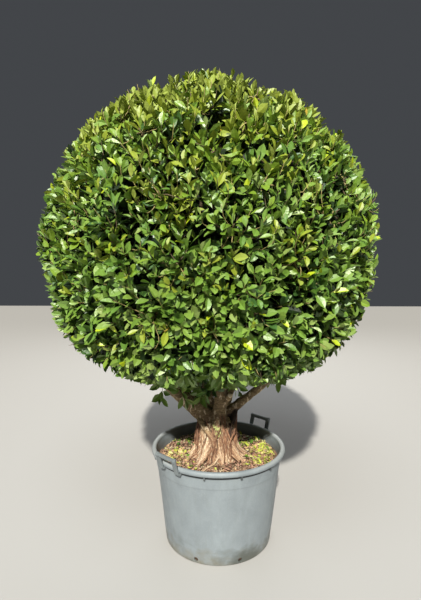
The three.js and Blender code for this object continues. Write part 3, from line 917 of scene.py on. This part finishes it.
def root_strands(seed, count):
    """Roots that run down the trunk's side, wander round it and spread out at its foot."""
    rng = np.random.default_rng(seed)
    share = np.linspace(0, 1, 40)
    strands = []
    for i in range(count):
        azimuth = 2 * math.pi * (i + rng.uniform(0, 0.8)) / count
        drift = rng.normal() * 0.20
        top = rng.uniform(0.53, 0.69)
        thick = rng.choice([0.0034, 0.0045, 0.0062, 0.0085], p=[0.42, 0.34, 0.16, 0.08])
        spread = rng.uniform(0.02, 0.42)
        z = lerp(top, SOIL_LEVEL - 0.008, share)
        angle = azimuth + drift * share + 0.05 * np.sin(share * rng.uniform(5, 12) + rng.uniform(0, 6))
        closing = np.sqrt(np.clip(1 - np.maximum(0, (z - 0.617) / 0.078) ** 2, 0.05, 1))
        out = trunk_radius(z, angle) * (1 + spread * share**5) * closing + thick * rng.uniform(0.2, 0.6)
        ends = np.sin(math.pi * np.clip(share * 0.93 + 0.07, 0, 0.5))
        strands.append((trunk_point(angle, out, z), thick * (0.35 + 0.75 * ends)))
    return strands


def web_roots(seed):
    """Dark roots that fill the corner between the right bough's underside and the trunk."""
    rng = np.random.default_rng(seed)
    strands = []
    for share in np.linspace(0.02, 0.19, WEB_ROOTS):
        start = below("bough_right", share) + rng.normal(size=3) * [0.003, 0.012, 0.002]
        azimuth = math.radians(rng.uniform(-42, 26))
        side = trunk_point(azimuth, TRUNK["waist"] + rng.uniform(-0.002, 0.006), rng.uniform(0.585, 0.635))
        foot = trunk_point(azimuth, TRUNK["waist"] + rng.uniform(0.0, 0.010), rng.uniform(0.47, 0.56))
        middle = lerp(start, side, 0.5) + np.array([0.004, 0, 0.004])
        radii = np.linspace(1, 0.7, 40) * rng.uniform(0.0028, 0.0055)
        strands.append((rounded([start, middle, side, foot], 40), radii))
    return strands


def ridge_root():
    """The pale root that runs on from under the left bough across the trunk's front."""
    points = [
        (-0.120, -0.040, 0.690),
        (-0.082, -0.074, 0.646),
        (-0.050, -0.092, 0.606),
        (-0.022, -0.100, 0.568),
        (-0.012, -0.104, 0.520),
        (-0.006, -0.118, SOIL_LEVEL),
    ]
    line = rounded(points, 60)
    share = np.linspace(0, 1, 60)
    return line, 0.009 + 0.008 * np.sin(math.pi * share**0.8)


def crossing_root():
    """A root that comes down the trunk's front and crosses over to the left."""
    points = [
        (0.010, -0.108, 0.530),
        (0.008, -0.122, 0.496),
        (-0.022, -0.168, 0.474),
        (-0.068, -0.208, 0.462),
        (-0.100, -0.232, 0.446),
    ]
    return rounded(points, 50), np.linspace(0.0050, 0.0062, 50)


def stub():
    """A sawn-off branch between the front and right boughs."""
    start = np.array([0.030, -0.020, 0.735])
    end = np.array([0.060, -0.108, 0.812])
    return even_points(np.array([start, end]), 10), np.linspace(0.018, 0.0140, 10)


def stub_cut(look):
    """The pale sawn face of the stub, pale partly for its wood and partly as a painted sun fleck."""
    line, radius = stub()
    way = unit(line[-1] - line[0])
    ends = [line[-1] - way * 0.004, line[-1] + way * 0.0012, line[-1] + way * 0.0022]
    return piece("stub_cut", tube(ends, radius[-1] * np.array([0.9, 0.9, 0.7]), 20), look)


def noise_over(places, scales, shift):
    return np.array([noise.noise(Vector(place)) for place in places * scales + [shift, 0, 0]])


def bark_piece(look):
    """Trunk and boughs, fused into one skin with the relief of its strands."""
    lines = [buttress(*row) for row in BUTTRESSES]
    for i, (line, radius) in enumerate(list(lines)):
        lines += strand_bundle(line, radius, 70 + i)
    lines += root_strands(11, 112) + [crossing_root(), ridge_root()] + web_roots(12)
    parts = [trunk_column()] + [tube(line, radius, 10) for line, radius in lines]
    share = np.linspace(0, 1, 120)
    for name in BOUGHS:
        parts.append(tube(bough_curve(name), bough_radius(name, share), 28))
    parts.append(tube(*stub(), 16))
    made = thinned(fused(object_of("trunk_and_boughs", joined(parts)), SKIN["voxel"], 1), SKIN["kept"])
    places = vertices_of(made)
    fine = noise_over(places, [55, 55, 9], 0)
    knots = noise_over(places, [24, 24, 17], 7)
    above = ramp(places[:, 2], 0.62, 0.72)
    relief = fine * lerp(0.0022, 0.0016, above) + knots * lerp(0.0012, 0.0032, above)
    normals = rows_of(made.data.vertex_normals, "vector")
    moved(made, places + normals * relief[:, None])
    paint_strands(made, lines, places)
    return dressed(made, look, ["trunk", *BOUGHS])


def paint_strands(made, lines, places):
    """Gives each vertex its strand's tone, how deep it lies between strands, and a place along them."""
    rng = np.random.default_rng(4)
    tones = rng.uniform(0, 1, len(lines))
    # the dark roots, painted near-black by the bark partly as shade
    tones[-WEB_ROOTS:] = -0.6
    tones[-WEB_ROOTS - 1] = 1
    points = np.concatenate([line for line, _ in lines])
    reach = np.concatenate([radius for _, radius in lines])
    ways = np.concatenate([unit(np.gradient(line, axis=0)) for line, _ in lines])
    number = np.repeat(np.arange(len(lines)), [len(line) for line, _ in lines])
    tree = kdtree.KDTree(len(points))
    for i, point in enumerate(points):
        tree.insert(point, i)
    tree.balance()
    nearest = np.array([tree.find(place)[1] for place in places])
    off = places - points[nearest]
    distance = np.linalg.norm(off, axis=1)
    # how deep a vertex lies between strands, which the bark paints as shade
    hollow = np.clip((distance / reach[nearest] - 1.08) * 1.6, 0, 1)
    hollow = np.where(distance < 0.03, hollow, 0.25)
    ahead = (off * ways[nearest]).sum(axis=1)
    across = off - ahead[:, None] * ways[nearest]
    along = (points[nearest] * ways[nearest]).sum(axis=1) + ahead
    own = number[nearest, None] * [3.1, 5.7, 0]
    flow = across / GRAIN["across"] + own + along[:, None] / GRAIN["along"] * UP
    tone = np.where(distance < 0.012, tones[number[nearest]], 0.3)
    painted(made, strand=tone, hollow=hollow)
    vectors = made.data.attributes.new("flow", "FLOAT_VECTOR", "POINT").data
    vectors.foreach_set("vector", flow.astype(np.float32).ravel())


def bough_point(name, share):
    return bough_curve(name, 101)[int(share * 100)]


def below(name, share):
    """A point just inside the underside of a bough."""
    return bough_point(name, share) - UP * bough_radius(name, share) * 0.7


def hanging_roots(look):
    """Thin reddish roots that hang from the boughs and the trunk's side and end in the soil."""
    rng = np.random.default_rng(17)
    groups = [  # top, foot's azimuth in degrees and distance out, how many, how far apart
        (below("bough_left", 0.13), 190, 0.118, 9, 0.010),
        (below("bough_left", 0.16), 208, 0.118, 7, 0.009),
        (below("bough_right", 0.07), 326, 0.100, 12, 0.012),
        (below("bough_right", 0.12), 340, 0.099, 12, 0.012),
        (below("bough_right", 0.17), 350, 0.102, 9, 0.009),
        (below("bough_front", 0.30), 300, 0.104, 12, 0.013),
        (below("bough_back_right", 0.14), 60, 0.118, 8, 0.020),
        (below("bough_back_left", 0.14), 128, 0.118, 8, 0.020),
        (trunk_point(math.radians(262), 0.090, 0.640), 258, 0.118, 9, 0.024),
        (trunk_point(math.radians(292), 0.090, 0.640), 296, 0.118, 9, 0.024),
    ]
    sway = [0.004, 0.004, 0]
    parts = []
    for top, azimuth_deg, out, count, apart in groups:
        for _ in range(count):
            start = top + rng.normal(size=3) * [apart, apart * 0.5, 0.012]
            azimuth = math.radians(azimuth_deg + rng.normal() * 5)
            foot = trunk_point(azimuth, out + rng.normal() * 0.006, SOIL_LEVEL)
            side = foot + (start - foot) * [0.10, 0.10, 0.62]
            middle = lerp(side, lerp(start, foot, 0.38), 0.3) + rng.normal(size=3) * sway
            low = foot + (start - foot) * [0, 0, 0.28] + rng.normal(size=3) * sway
            line = rounded([start, middle, low, foot], 14)
            parts.append(tube(line, rng.uniform(0.0009, 0.0026) * np.linspace(1.1, 0.9, 14), 6))
    return piece("hanging_roots", joined(parts), look)


def surface_roots(name, look, seed, count, thick):
    """Thin roots that run down over the trunk's strands and its buttresses."""
    rng = np.random.default_rng(seed)
    parts = []
    for line, _ in root_strands(seed, count):
        out = unit((line - [*TRUNK_CENTRE, 0]) * [1, 1, 0])
        root = line + out * rng.uniform(0.002, 0.005)
        parts.append(tube(root[::2], np.full(20, rng.uniform(*thick)), 6))
    for i, row in enumerate(BUTTRESSES):
        line, radius = buttress(*row)
        for strand, _ in strand_bundle(line, radius * 1.14, seed * 10 + i)[1::2]:
            parts.append(tube(strand[::2], np.full(20, rng.uniform(*thick)), 6))
    return piece(name, joined(parts), look)


def caught_leaves(look):
    """Small pale leaves caught among the roots on the trunk's front."""
    rng = np.random.default_rng(23)
    count = 26
    azimuth = np.radians(rng.normal(274, 7, count))
    z = rng.uniform(0.590, 0.655, count)
    roots = trunk_point(azimuth, trunk_radius(z, azimuth) + 0.012, z)
    along = rng.normal(size=(count, 3)) * [0.35, 0.2, 0.5] + [0, -0.10, -0.7]
    face = rng.normal(size=(count, 3)) * 0.4 + [0, -1, 0.5]
    bends, folds, twists = rng.normal(size=(3, count)) * 0.3
    shape = leaf_shapes(roots, along, face, rng.uniform(0.010, 0.024, count), bends, np.abs(folds), twists)
    return piece("caught_leaves", shape, look)


# Crown
def crown_reach(ways):
    """How far the crown's clipped outline lies from its centre along each way."""
    to_underside = CROWN_UNDERSIDE / np.maximum(-ways[:, 2], 1e-6)
    return (CROWN_RADIUS**-CROWN_CORNER + to_underside**-CROWN_CORNER) ** (-1 / CROWN_CORNER)


def spray_ways(layer):
    """Evenly spread directions over the crown, each moved a little by the layer's seed."""
    count = layer["count"]
    random = random_from(layer["seed"])
    lowest = math.sin(math.radians(layer["lowest_deg"]))
    spacing = math.sqrt((1 - lowest) * 2 * math.pi / count)
    numbers = np.arange(count)
    golden = math.pi * (3 - math.sqrt(5))
    z = 1 - (numbers + 0.5) / count * (1 - lowest)
    even = around(numbers * golden, np.sqrt(1 - z * z), z)
    draws = np.array([random() - 0.5 for _ in range(3 * count)]).reshape(-1, 3)
    return unit(even + draws * spacing * [0.35, 0.35, 0.2])


def spray_growth(ways):
    """A spray grows outwards, and turns up most at the crown's middle height."""
    lift = 0.34 * (1 - np.abs(ways[:, 2])) * np.sign(ways[:, 2] + 0.55)
    return unit(ways + lift[:, None] * UP)


def spray_feet(ways):
    depth = SPRAY_DEPTH + LOW_DEPTH * np.maximum(0, -ways[:, 2]) ** 2
    return CROWN_CENTRE + ways * (crown_reach(ways) - depth)[:, None]


def crown_branches(ways):
    """Branches that carry each bough on into the crown and fork twice on the way to its sprays."""
    feet = spray_feet(ways)
    growth = spray_growth(ways)
    aims = np.array([heading(*aim) for *_, aim in BOUGHS.values()])
    owner = np.argmax(ways @ aims.T, axis=1)
    steps = np.linspace(0, 1, 24)
    shares = np.linspace(0, 1, 14)
    parts = []
    for i, name in enumerate(BOUGHS):
        *_, thick, _ = BOUGHS[name]
        line = bough_curve(name)
        tip = line[-1]
        way = unit(tip - line[-4])
        hub = CROWN_CENTRE + aims[i] * HUB_REACH
        leader = bezier(tip - way * 0.01, tip + way * 0.22, hub - unit(hub - tip) * 0.1, hub, steps)
        parts.append(tube(leader, lerp(thick, BRANCHES["leader"], steps**0.7), 10))
        mine = np.flatnonzero(owner == i)
        mine = mine[np.argsort(ways[mine, 2] + 0.12 * np.arctan2(ways[mine, 1], ways[mine, 0]))]
        groups = np.array_split(mine, max(1, round(len(mine) / 4)))
        for rank, group in enumerate(groups):
            place = int(lerp(5, len(steps) - 1, (rank + 0.5) / len(groups)))
            fork = leader[place]
            middle = lerp(fork, feet[group].mean(axis=0), 0.55)
            out = unit(leader[place] - leader[place - 1])
            limb = bezier(fork, fork + out * 0.08, middle - unit(middle - fork) * 0.06, middle, shares)
            parts.append(tube(limb, np.linspace(BRANCHES["limb"], BRANCHES["branch"], 14), 7))
            for k in group:
                reach = np.linalg.norm(feet[k] - middle)
                start = middle + unit(middle - fork) * reach * 0.35
                branch = bezier(middle, start, feet[k] - growth[k] * reach * 0.3, feet[k], shares)
                end = feet[k] + growth[k] * 0.10
                branch = np.concatenate([branch, [lerp(feet[k], end, 0.5), end]])
                parts.append(tube(branch, np.linspace(BRANCHES["branch"], BRANCHES["tip"], 16), 6))
    return joined(parts)


def limb_points():
    """Points along every bough, each with the radius there."""
    share = np.linspace(0, 1, 40)
    points = np.concatenate([bough_curve(name, 40) for name in BOUGHS])
    return points, np.concatenate([bough_radius(name, share) for name in BOUGHS])


def shoot_lines(rng, layer):
    """Shoots that leave the nearest spray and end under the crown's outline."""
    parents = spray_ways(SPRAYS)
    ways = spray_ways(layer)
    hollow = waves(ways * CROWN_RADIUS, 0.075, 31) < layer["hollow_below"]
    ways = ways[~hollow | (rng.uniform(size=len(ways)) < 0.15)]
    count = len(ways)
    surface = ways * CROWN_RADIUS
    depth = 0.022 * waves(surface, 0.20, 32) + 0.021 * waves(surface, 0.08, 33)
    depth += layer["depth"] * rng.uniform(0.6, 1.5, count)
    low = ramp(-ways[:, 2], 0.45, 0.75)
    off_deg = np.degrees(np.arctan2(ways[:, 1], ways[:, 0])) % 360 - PARTING["azimuth_deg"]
    depth *= lerp(1, 0.6, low)
    depth += PARTING["depth"] * low * np.exp(-((off_deg / PARTING["width_deg"]) ** 2))
    reach = crown_reach(ways) - np.maximum(depth, 0.004)
    tips = CROWN_CENTRE + ways * reach[:, None]
    nearest = np.argmax(ways @ parents.T, axis=1)
    parent_growth = spray_growth(parents)[nearest]
    starts = spray_feet(parents)[nearest] + parent_growth * rng.uniform(*layer["back"], (count, 1))
    rise = lerp(0.08, 1.0, ramp(ways[:, 2:], -0.45, 0.5))
    growth = unit(spray_growth(ways) + rng.normal(size=(count, 3)) * 0.15 + UP * rise)
    length = np.linalg.norm(tips - starts, axis=1, keepdims=True)
    leave = unit(parent_growth + unit(tips - starts) * 1.4)
    return ways, starts, starts + leave * length * 0.35, tips - growth * np.minimum(0.11, length * 0.6), tips


LOW_SHOOTS = [  # bough, share of its length, azimuth in degrees, reach
    ("bough_left", 0.50, 300, 0.13),
    ("bough_left", 0.45, 330, 0.10),
    ("bough_left", 0.62, 265, 0.16),
    ("bough_left", 0.78, 290, 0.08),
    ("bough_top", 0.50, 265, 0.14),
    ("bough_top", 0.40, 230, 0.12),
    ("bough_front", 0.50, 205, 0.12),
    ("bough_front", 0.58, 232, 0.14),
    ("bough_front", 0.72, 300, 0.17),
    ("bough_right", 0.62, 100, 0.09),
    ("bough_right", 0.70, 265, 0.10),
    ("bough_right", 0.86, 330, 0.10),
    ("bough_back_left", 0.45, 250, 0.14),
    ("bough_back_left", 0.55, 280, 0.14),
    ("bough_back_left", 0.70, 110, 0.15),
    ("bough_back_left", 0.80, 170, 0.15),
    ("bough_back_right", 0.40, 300, 0.13),
    ("bough_back_right", 0.50, 20, 0.12),
    ("bough_back_right", 0.72, 60, 0.15),
    ("bough_back_right", 0.84, 95, 0.15),
]


def low_shoots():
    """A few drooping shoots under the crown, out of the boughs."""
    shoots = []
    for name, share, azimuth_deg, reach in LOW_SHOOTS:
        start = bough_point(name, share)
        way = heading(azimuth_deg, -18)
        tip = start + way * reach
        pull = start + heading(azimuth_deg, 35) * reach * 0.4
        end = tip - heading(azimuth_deg, -45) * reach * 0.35
        shoots.append((way, start, pull, end, tip))
    return [np.array(rows) for rows in zip(*shoots)]


def bezier_ways(start, pull_start, pull_end, end, shares):
    """The direction of each curve at the given shares."""
    s = np.asarray(shares)[..., None]
    a, b, c, d = (np.asarray(p)[:, None, :] for p in (start, pull_start, pull_end, end))
    return unit((b - a) * (1 - s) ** 2 + 2 * (c - b) * s * (1 - s) + (d - c) * s**2)


LEAF_COLOURS = {  # from the deepest green to the odd yellow or rusty leaf
    "deep": (0.006, 0.017, 0.002),
    "dark": (0.052, 0.112, 0.007),
    "mid": (0.112, 0.208, 0.014),
    "fresh": (0.164, 0.270, 0.018),
    # the cool greens go mostly low in the crown; their blue is partly painted sky reflection, and the palest
    # is a painted sheen
    "cool_dark": (0.040, 0.108, 0.018),
    "cool_mid": (0.090, 0.193, 0.021),
    "cool_fresh": (0.134, 0.246, 0.029),
    "cool_bright": (0.177, 0.288, 0.041),
    "cool_painted_sheen": (0.222, 0.312, 0.075),
    "olive": (0.232, 0.292, 0.024),
    "light": (0.250, 0.312, 0.050),
    "lime": (0.385, 0.490, 0.010),
    "yellow": (0.620, 0.450, 0.045),
    "rust": (0.400, 0.190, 0.065),
}
LEAF_COATS = {"deep": 0.1, "olive": 0.5, "light": 0.35, "cool_painted_sheen": 0.7}  # less gloss than the others


def leaf_colours(rng, ways, share, shade):
    """Deals a colour to every leaf by its spray: yellower at the top and brighter on young leaves, with more
    painted light at the top and front, and painted shade on the left, at the underside, in deeper layers and
    on a shoot's older leaves.
    """
    count, leaves = share.shape
    patch = waves(ways * CROWN_RADIUS, 0.22, 41)
    left = np.clip(-ways[:, 0] - 0.35, 0, 1)
    top = ramp(ways[:, 2], 0.48, 0.78)
    low = np.clip(-ways[:, 2] - 0.55, 0, 1)
    front = np.exp(-((ways - [0.02, -0.97, -0.22]) ** 2).sum(axis=1) / 0.30)
    # brighter at the top partly as painted light, and at the front; painted shade on the left and the
    # underside
    bright = 0.40 + 0.42 * top + 0.08 * front - 0.18 * left - 0.15 * low
    bright += 0.09 * patch + rng.normal(size=count) * 0.11 - shade
    # a shoot's older leaves are darker, partly by age and partly as painted shade
    score = bright[:, None] + 0.46 * (share - 0.56) + rng.normal(size=(count, leaves)) * 0.08
    steps = np.digitize(score, [0.03, 0.15, 0.32, 0.57, 0.73])
    names = np.array(["deep", "dark", "mid", "fresh", "olive", "light"])[steps]
    cool_names = np.array(["deep", "cool_dark", "cool_mid", "cool_fresh", "cool_bright", "cool_painted_sheen"])[steps]
    cool = rng.uniform(size=(count, 1)) < np.clip(0.66 - 0.80 * ways[:, 2:], 0.04, 0.95)
    names = np.where(cool, cool_names, names)
    warm = rng.uniform(size=(count, leaves)) < 0.5 * ramp(ways[:, 2:], 0.35, 0.75)
    names = np.where(warm & (names == "fresh"), "olive", names)
    odd = rng.uniform(size=(count, leaves))
    names = np.where((odd < 0.03) & (share > 0.6) & (score > 0.3), "lime", names)
    names = np.where(odd > 0.9993, "yellow", names)
    return np.where((odd > 0.999) & (odd <= 0.9993), "rust", names)


def grown_leaves(rng, grown, layer, shade, limited):
    """The leaves on a layer of shoots, as rows for leaf_shapes, with a colour name for each."""
    ways, starts, pulls, ends, tips = grown
    count = len(ways)
    leaves = layer["leaves"]
    share = np.tile(np.linspace(0, 1, leaves), (count, 1))
    back = layer["leafy"] * (1 - share) + 0.004
    places = 1 - back / (3 * np.linalg.norm(tips - ends, axis=1, keepdims=True))
    places = np.maximum(places, 0.05)
    roots = bezier(starts, pulls, ends, tips, places)
    growth = bezier_ways(starts, pulls, ends, tips, places)
    aside = np.where(np.abs(growth[..., 2:]) < 0.9, UP, [1.0, 0.0, 0.0])
    side = unit(np.cross(growth, aside))
    other = np.cross(growth, side)
    angle = rng.uniform(0, 2 * math.pi, (count, 1)) + np.arange(leaves) * math.radians(LEAF_TURN_DEG)
    angle = angle + rng.normal(size=(count, leaves)) * 0.25
    out = side * np.cos(angle)[..., None] + other * np.sin(angle)[..., None]
    opening_deg = lerp(80, 33, share) * lerp(1, 0.74, ramp(ways[:, 2:], 0.2, 0.7))
    opening = np.radians(opening_deg + rng.normal(size=share.shape) * 9)[..., None]
    along = unit(growth * np.cos(opening) + out * np.sin(opening) + UP * 0.12)
    face = growth + UP * 0.55 + rng.normal(size=along.shape) * 0.22
    young = ramp(share, 0.80, 1.0)
    length = rng.uniform(*layer["length"], share.shape) * lerp(1, 0.72, young)
    length *= rng.uniform(0.84, 1.18, (count, 1)) * lerp(1, 1.22, ramp(-ways[:, 2:], 0, 0.5))
    bends = rng.normal(size=share.shape) * 0.24 + lerp(0.42, 0.05, share)
    folds = rng.uniform(0.16, 0.58, share.shape) + 0.15 * young
    twists = rng.normal(size=share.shape) * 0.22
    colours = leaf_colours(rng, ways, share, shade)

    ends_at = roots + along * length[..., None]
    keep = np.ones(share.shape, bool)
    if limited:
        from_centre = ends_at - CROWN_CENTRE
        distance = np.linalg.norm(from_centre, axis=-1)
        limit = crown_reach(unit(from_centre).reshape(-1, 3)).reshape(distance.shape) + RAGGED
        keep = distance < limit
    keep &= ~near_boughs(lerp(roots, ends_at, 0.6))
    rows = [a.reshape(count * leaves, -1) for a in (roots, along, face)]
    rows += [a.ravel() for a in (length, bends, folds, twists)]
    kept = keep.ravel()
    return [a[kept] for a in rows], colours.ravel()[kept]


def near_boughs(places):
    """Whether each place lies so near a bough that a leaf there would touch it."""
    points, radii = limb_points()
    low = places[..., 2] < BOUGH_END + 0.12
    close = np.zeros(low.shape, bool)
    gap = np.linalg.norm(places[low][:, None] - points[None], axis=-1) - radii
    close[low] = gap.min(axis=1) < 0.018
    return close


def twig_lines(rng, grown):
    """The stem of every shoot, with its radius at each point."""
    ways, starts, pulls, ends, tips = grown
    lines = bezier(starts, pulls, ends, tips, np.linspace(0, 1, 6))
    beyond = lines[:, -1:] + (unit(tips - ends) * 0.012)[:, None]
    lines = np.concatenate([lines, beyond], axis=1)
    radii = np.linspace(STEM["foot"], STEM["end"], 7) * rng.uniform(0.85, 1.2, (len(ways), 1))
    radii[:, -1] = STEM["point"]
    return lines, radii


def crown_pieces(looks):
    """Every shoot of the crown with its leaves, in pieces by colour. Returns the shoots' stems."""
    rng = np.random.default_rng(OUTER["seed"])
    outer = shoot_lines(rng, OUTER)
    inner = shoot_lines(rng, INNER)
    low = low_shoots()
    # the third number darkens a layer's leaves as painted shade
    layers = [(outer, OUTER, 0.0, True), (inner, INNER, 0.58, True), (low, LOW, 0.10, False)]
    grown = [grown_leaves(rng, *layer) for layer in layers]
    colours = np.concatenate([names for _, names in grown])
    rows = [np.concatenate(parts) for parts in zip(*[rows for rows, _ in grown])]
    stands_for = ["crown"]
    for name, look in looks.items():
        chosen = np.flatnonzero(colours == name)
        for part, some in enumerate(np.array_split(chosen, 1 + len(chosen) // MOST_LEAVES)):
            shape = leaf_shapes(*[a[some] for a in rows])
            piece(f"leaves_{name}_{part + 1}", shape, look, stands_for)
            stands_for = []
    stems = [twig_lines(rng, layer) for layer in (outer, inner, low)]
    return [np.concatenate(parts) for parts in zip(*stems)]


def twig_pieces(lines, radii, tan, brown):
    rng = np.random.default_rng(19)
    fresh = rng.uniform(size=len(lines)) < 0.62
    piece("shoots_tan", tubes(lines[fresh], radii[fresh], 3), tan)
    piece("shoots_brown", tubes(lines[~fresh], radii[~fresh], 3), brown)
    piece("crown_branches", crown_branches(spray_ways(SPRAYS)), brown)


# Stage, light and camera
def stage():
    bpy.ops.mesh.primitive_plane_add(size=24, location=(0, 0, 0))
    floor = bpy.context.object
    floor.name = "studio_floor"
    look = Look("studio_floor", 0.9)
    look.set("Base Color", (0.42, 0.415, 0.40))
    floor.data.materials.append(look.material)
    world = bpy.data.worlds.new("studio")
    bpy.context.scene.world = world
    world.use_nodes = True
    background = world.node_tree.nodes["Background"]
    background.inputs["Color"].default_value = (0.80, 0.86, 0.95, 1.0)
    background.inputs["Strength"].default_value = 0.07


def light(name, kind, energy, azimuth_deg, elevation_deg, **settings):
    data = bpy.data.lights.new(name, kind)
    data.energy = energy
    for key, value in settings.items():
        setattr(data, key, value)
    made = linked(name, data)
    way = Vector(heading(azimuth_deg, elevation_deg))
    made.location = Vector((0, 0, 1.2)) + way * 6
    made.rotation_euler = way.to_track_quat("Z", "Y").to_euler()


def camera():
    data = bpy.data.cameras.new("camera")
    data.sensor_fit = "VERTICAL"
    data.sensor_height = 36.0
    data.lens = CAMERA["lens"]
    made = linked("camera", data)
    made.location = CAMERA["place"]
    made.rotation_euler = (math.radians(90 - CAMERA["down_deg"]), 0.0, math.radians(CAMERA["left_deg"]))
    bpy.context.scene.camera = made


CHIPS = [  # name, light and dark colour, seed, count, shortest and longest
    ("chips_pink", (0.57, 0.345, 0.24), (0.32, 0.16, 0.105), 51, 1900, (0.008, 0.036)),
    ("chips_brown", (0.22, 0.12, 0.075), (0.09, 0.050, 0.034), 52, 560, (0.006, 0.030)),
    ("chips_straw", (0.62, 0.51, 0.345), (0.44, 0.32, 0.19), 53, 1300, (0.006, 0.030)),
]
ALL_ROUND = [(270, 70, 0.55), (90, 80, 0.45)]  # azimuth and spread in degrees, and the share that lies there
SIDES = [(358, 23, 0.56), (192, 15, 0.26), (90, 70, 0.14), (270, 50, 0.04)]
BACK = [(141, 12, 0.45), (44, 12, 0.25), (0, 30, 0.22), (270, 60, 0.08)]
FALLEN = [  # name, colour, roughness, coat, seed, count, where they lie, shortest and longest
    ("fallen_lime", (0.44, 0.50, 0.075), 0.5, 0.1, 65, 250, SIDES, (0.018, 0.039)),
    ("fallen_pale", (0.54, 0.51, 0.20), 0.5, 0.1, 62, 190, SIDES, (0.018, 0.039)),
    ("fallen_tan", (0.55, 0.35, 0.20), 0.6, 0.05, 64, 240, SIDES, (0.018, 0.039)),
    ("fallen_green", (0.105, 0.215, 0.030), 0.45, 0.15, 63, 110, BACK, (0.024, 0.046)),
]


def build():
    plastic = pot_look("pot_plastic", (0.240, 0.279, 0.301), (0.195, 0.227, 0.247))
    worn = pot_look("handle_plastic", (0.190, 0.217, 0.226), (0.132, 0.154, 0.163))
    pot_piece(plastic)
    # the ribs are painted dark as shade under the lip
    ribs_piece(pot_look("rib_plastic_painted_shade", (0.080, 0.092, 0.096), (0.050, 0.058, 0.062)))
    handle_piece("handle_front_left", HANDLE["azimuth_deg"], worn)
    handle_piece("handle_back_right", HANDLE["azimuth_deg"] - 180, worn)
    soil_piece(soil_look())
    for name, pale_colour, dark_colour, *rest in CHIPS:
        chips_piece(name, twig_look(name, pale_colour, dark_colour), *rest)
    for name, colour, roughness, coat, *rest in FALLEN:
        fallen_leaves(name, leaf_look(name, colour, roughness, coat), *rest)
    bark_piece(bark_look())
    # the sawn face is pale wood, made brighter as a painted sun fleck
    stub_cut(twig_look("sawn_wood", (0.95, 0.80, 0.58), (0.85, 0.66, 0.44)))
    red = twig_look("root_red", (0.36, 0.19, 0.105), (0.13, 0.060, 0.036))
    pale = twig_look("root_pale", (0.66, 0.50, 0.34), (0.46, 0.30, 0.19))
    hanging_roots(red)
    surface_roots("surface_roots_red", red, 81, 56, (0.0011, 0.0025))
    surface_roots("surface_roots_pale", pale, 82, 36, (0.0010, 0.0024))
    caught_leaves(leaf_look("caught_leaf", (0.40, 0.42, 0.16), 0.5, 0.1))
    tan = twig_look("twig_tan", (0.50, 0.41, 0.17), (0.30, 0.235, 0.080))
    brown = twig_look("twig_brown", (0.150, 0.105, 0.052), (0.075, 0.054, 0.030))
    looks = {}
    for name, colour in LEAF_COLOURS.items():
        looks[name] = leaf_look("leaf_" + name, colour, 0.60, LEAF_COATS.get(name, 0.95))
    twig_pieces(*crown_pieces(looks), tan, brown)


build()
stage()
light("key", "SUN", 6.1, 265, 37.5, angle=math.radians(2), color=(1.0, 0.955, 0.87))
light("sky", "AREA", 165, 262, 58, size=2.6, color=(0.86, 0.93, 1.0))
light("fill", "AREA", 150, 88, 36, size=4.5)
camera()
bpy.context.scene.view_settings.view_transform = "Standard"
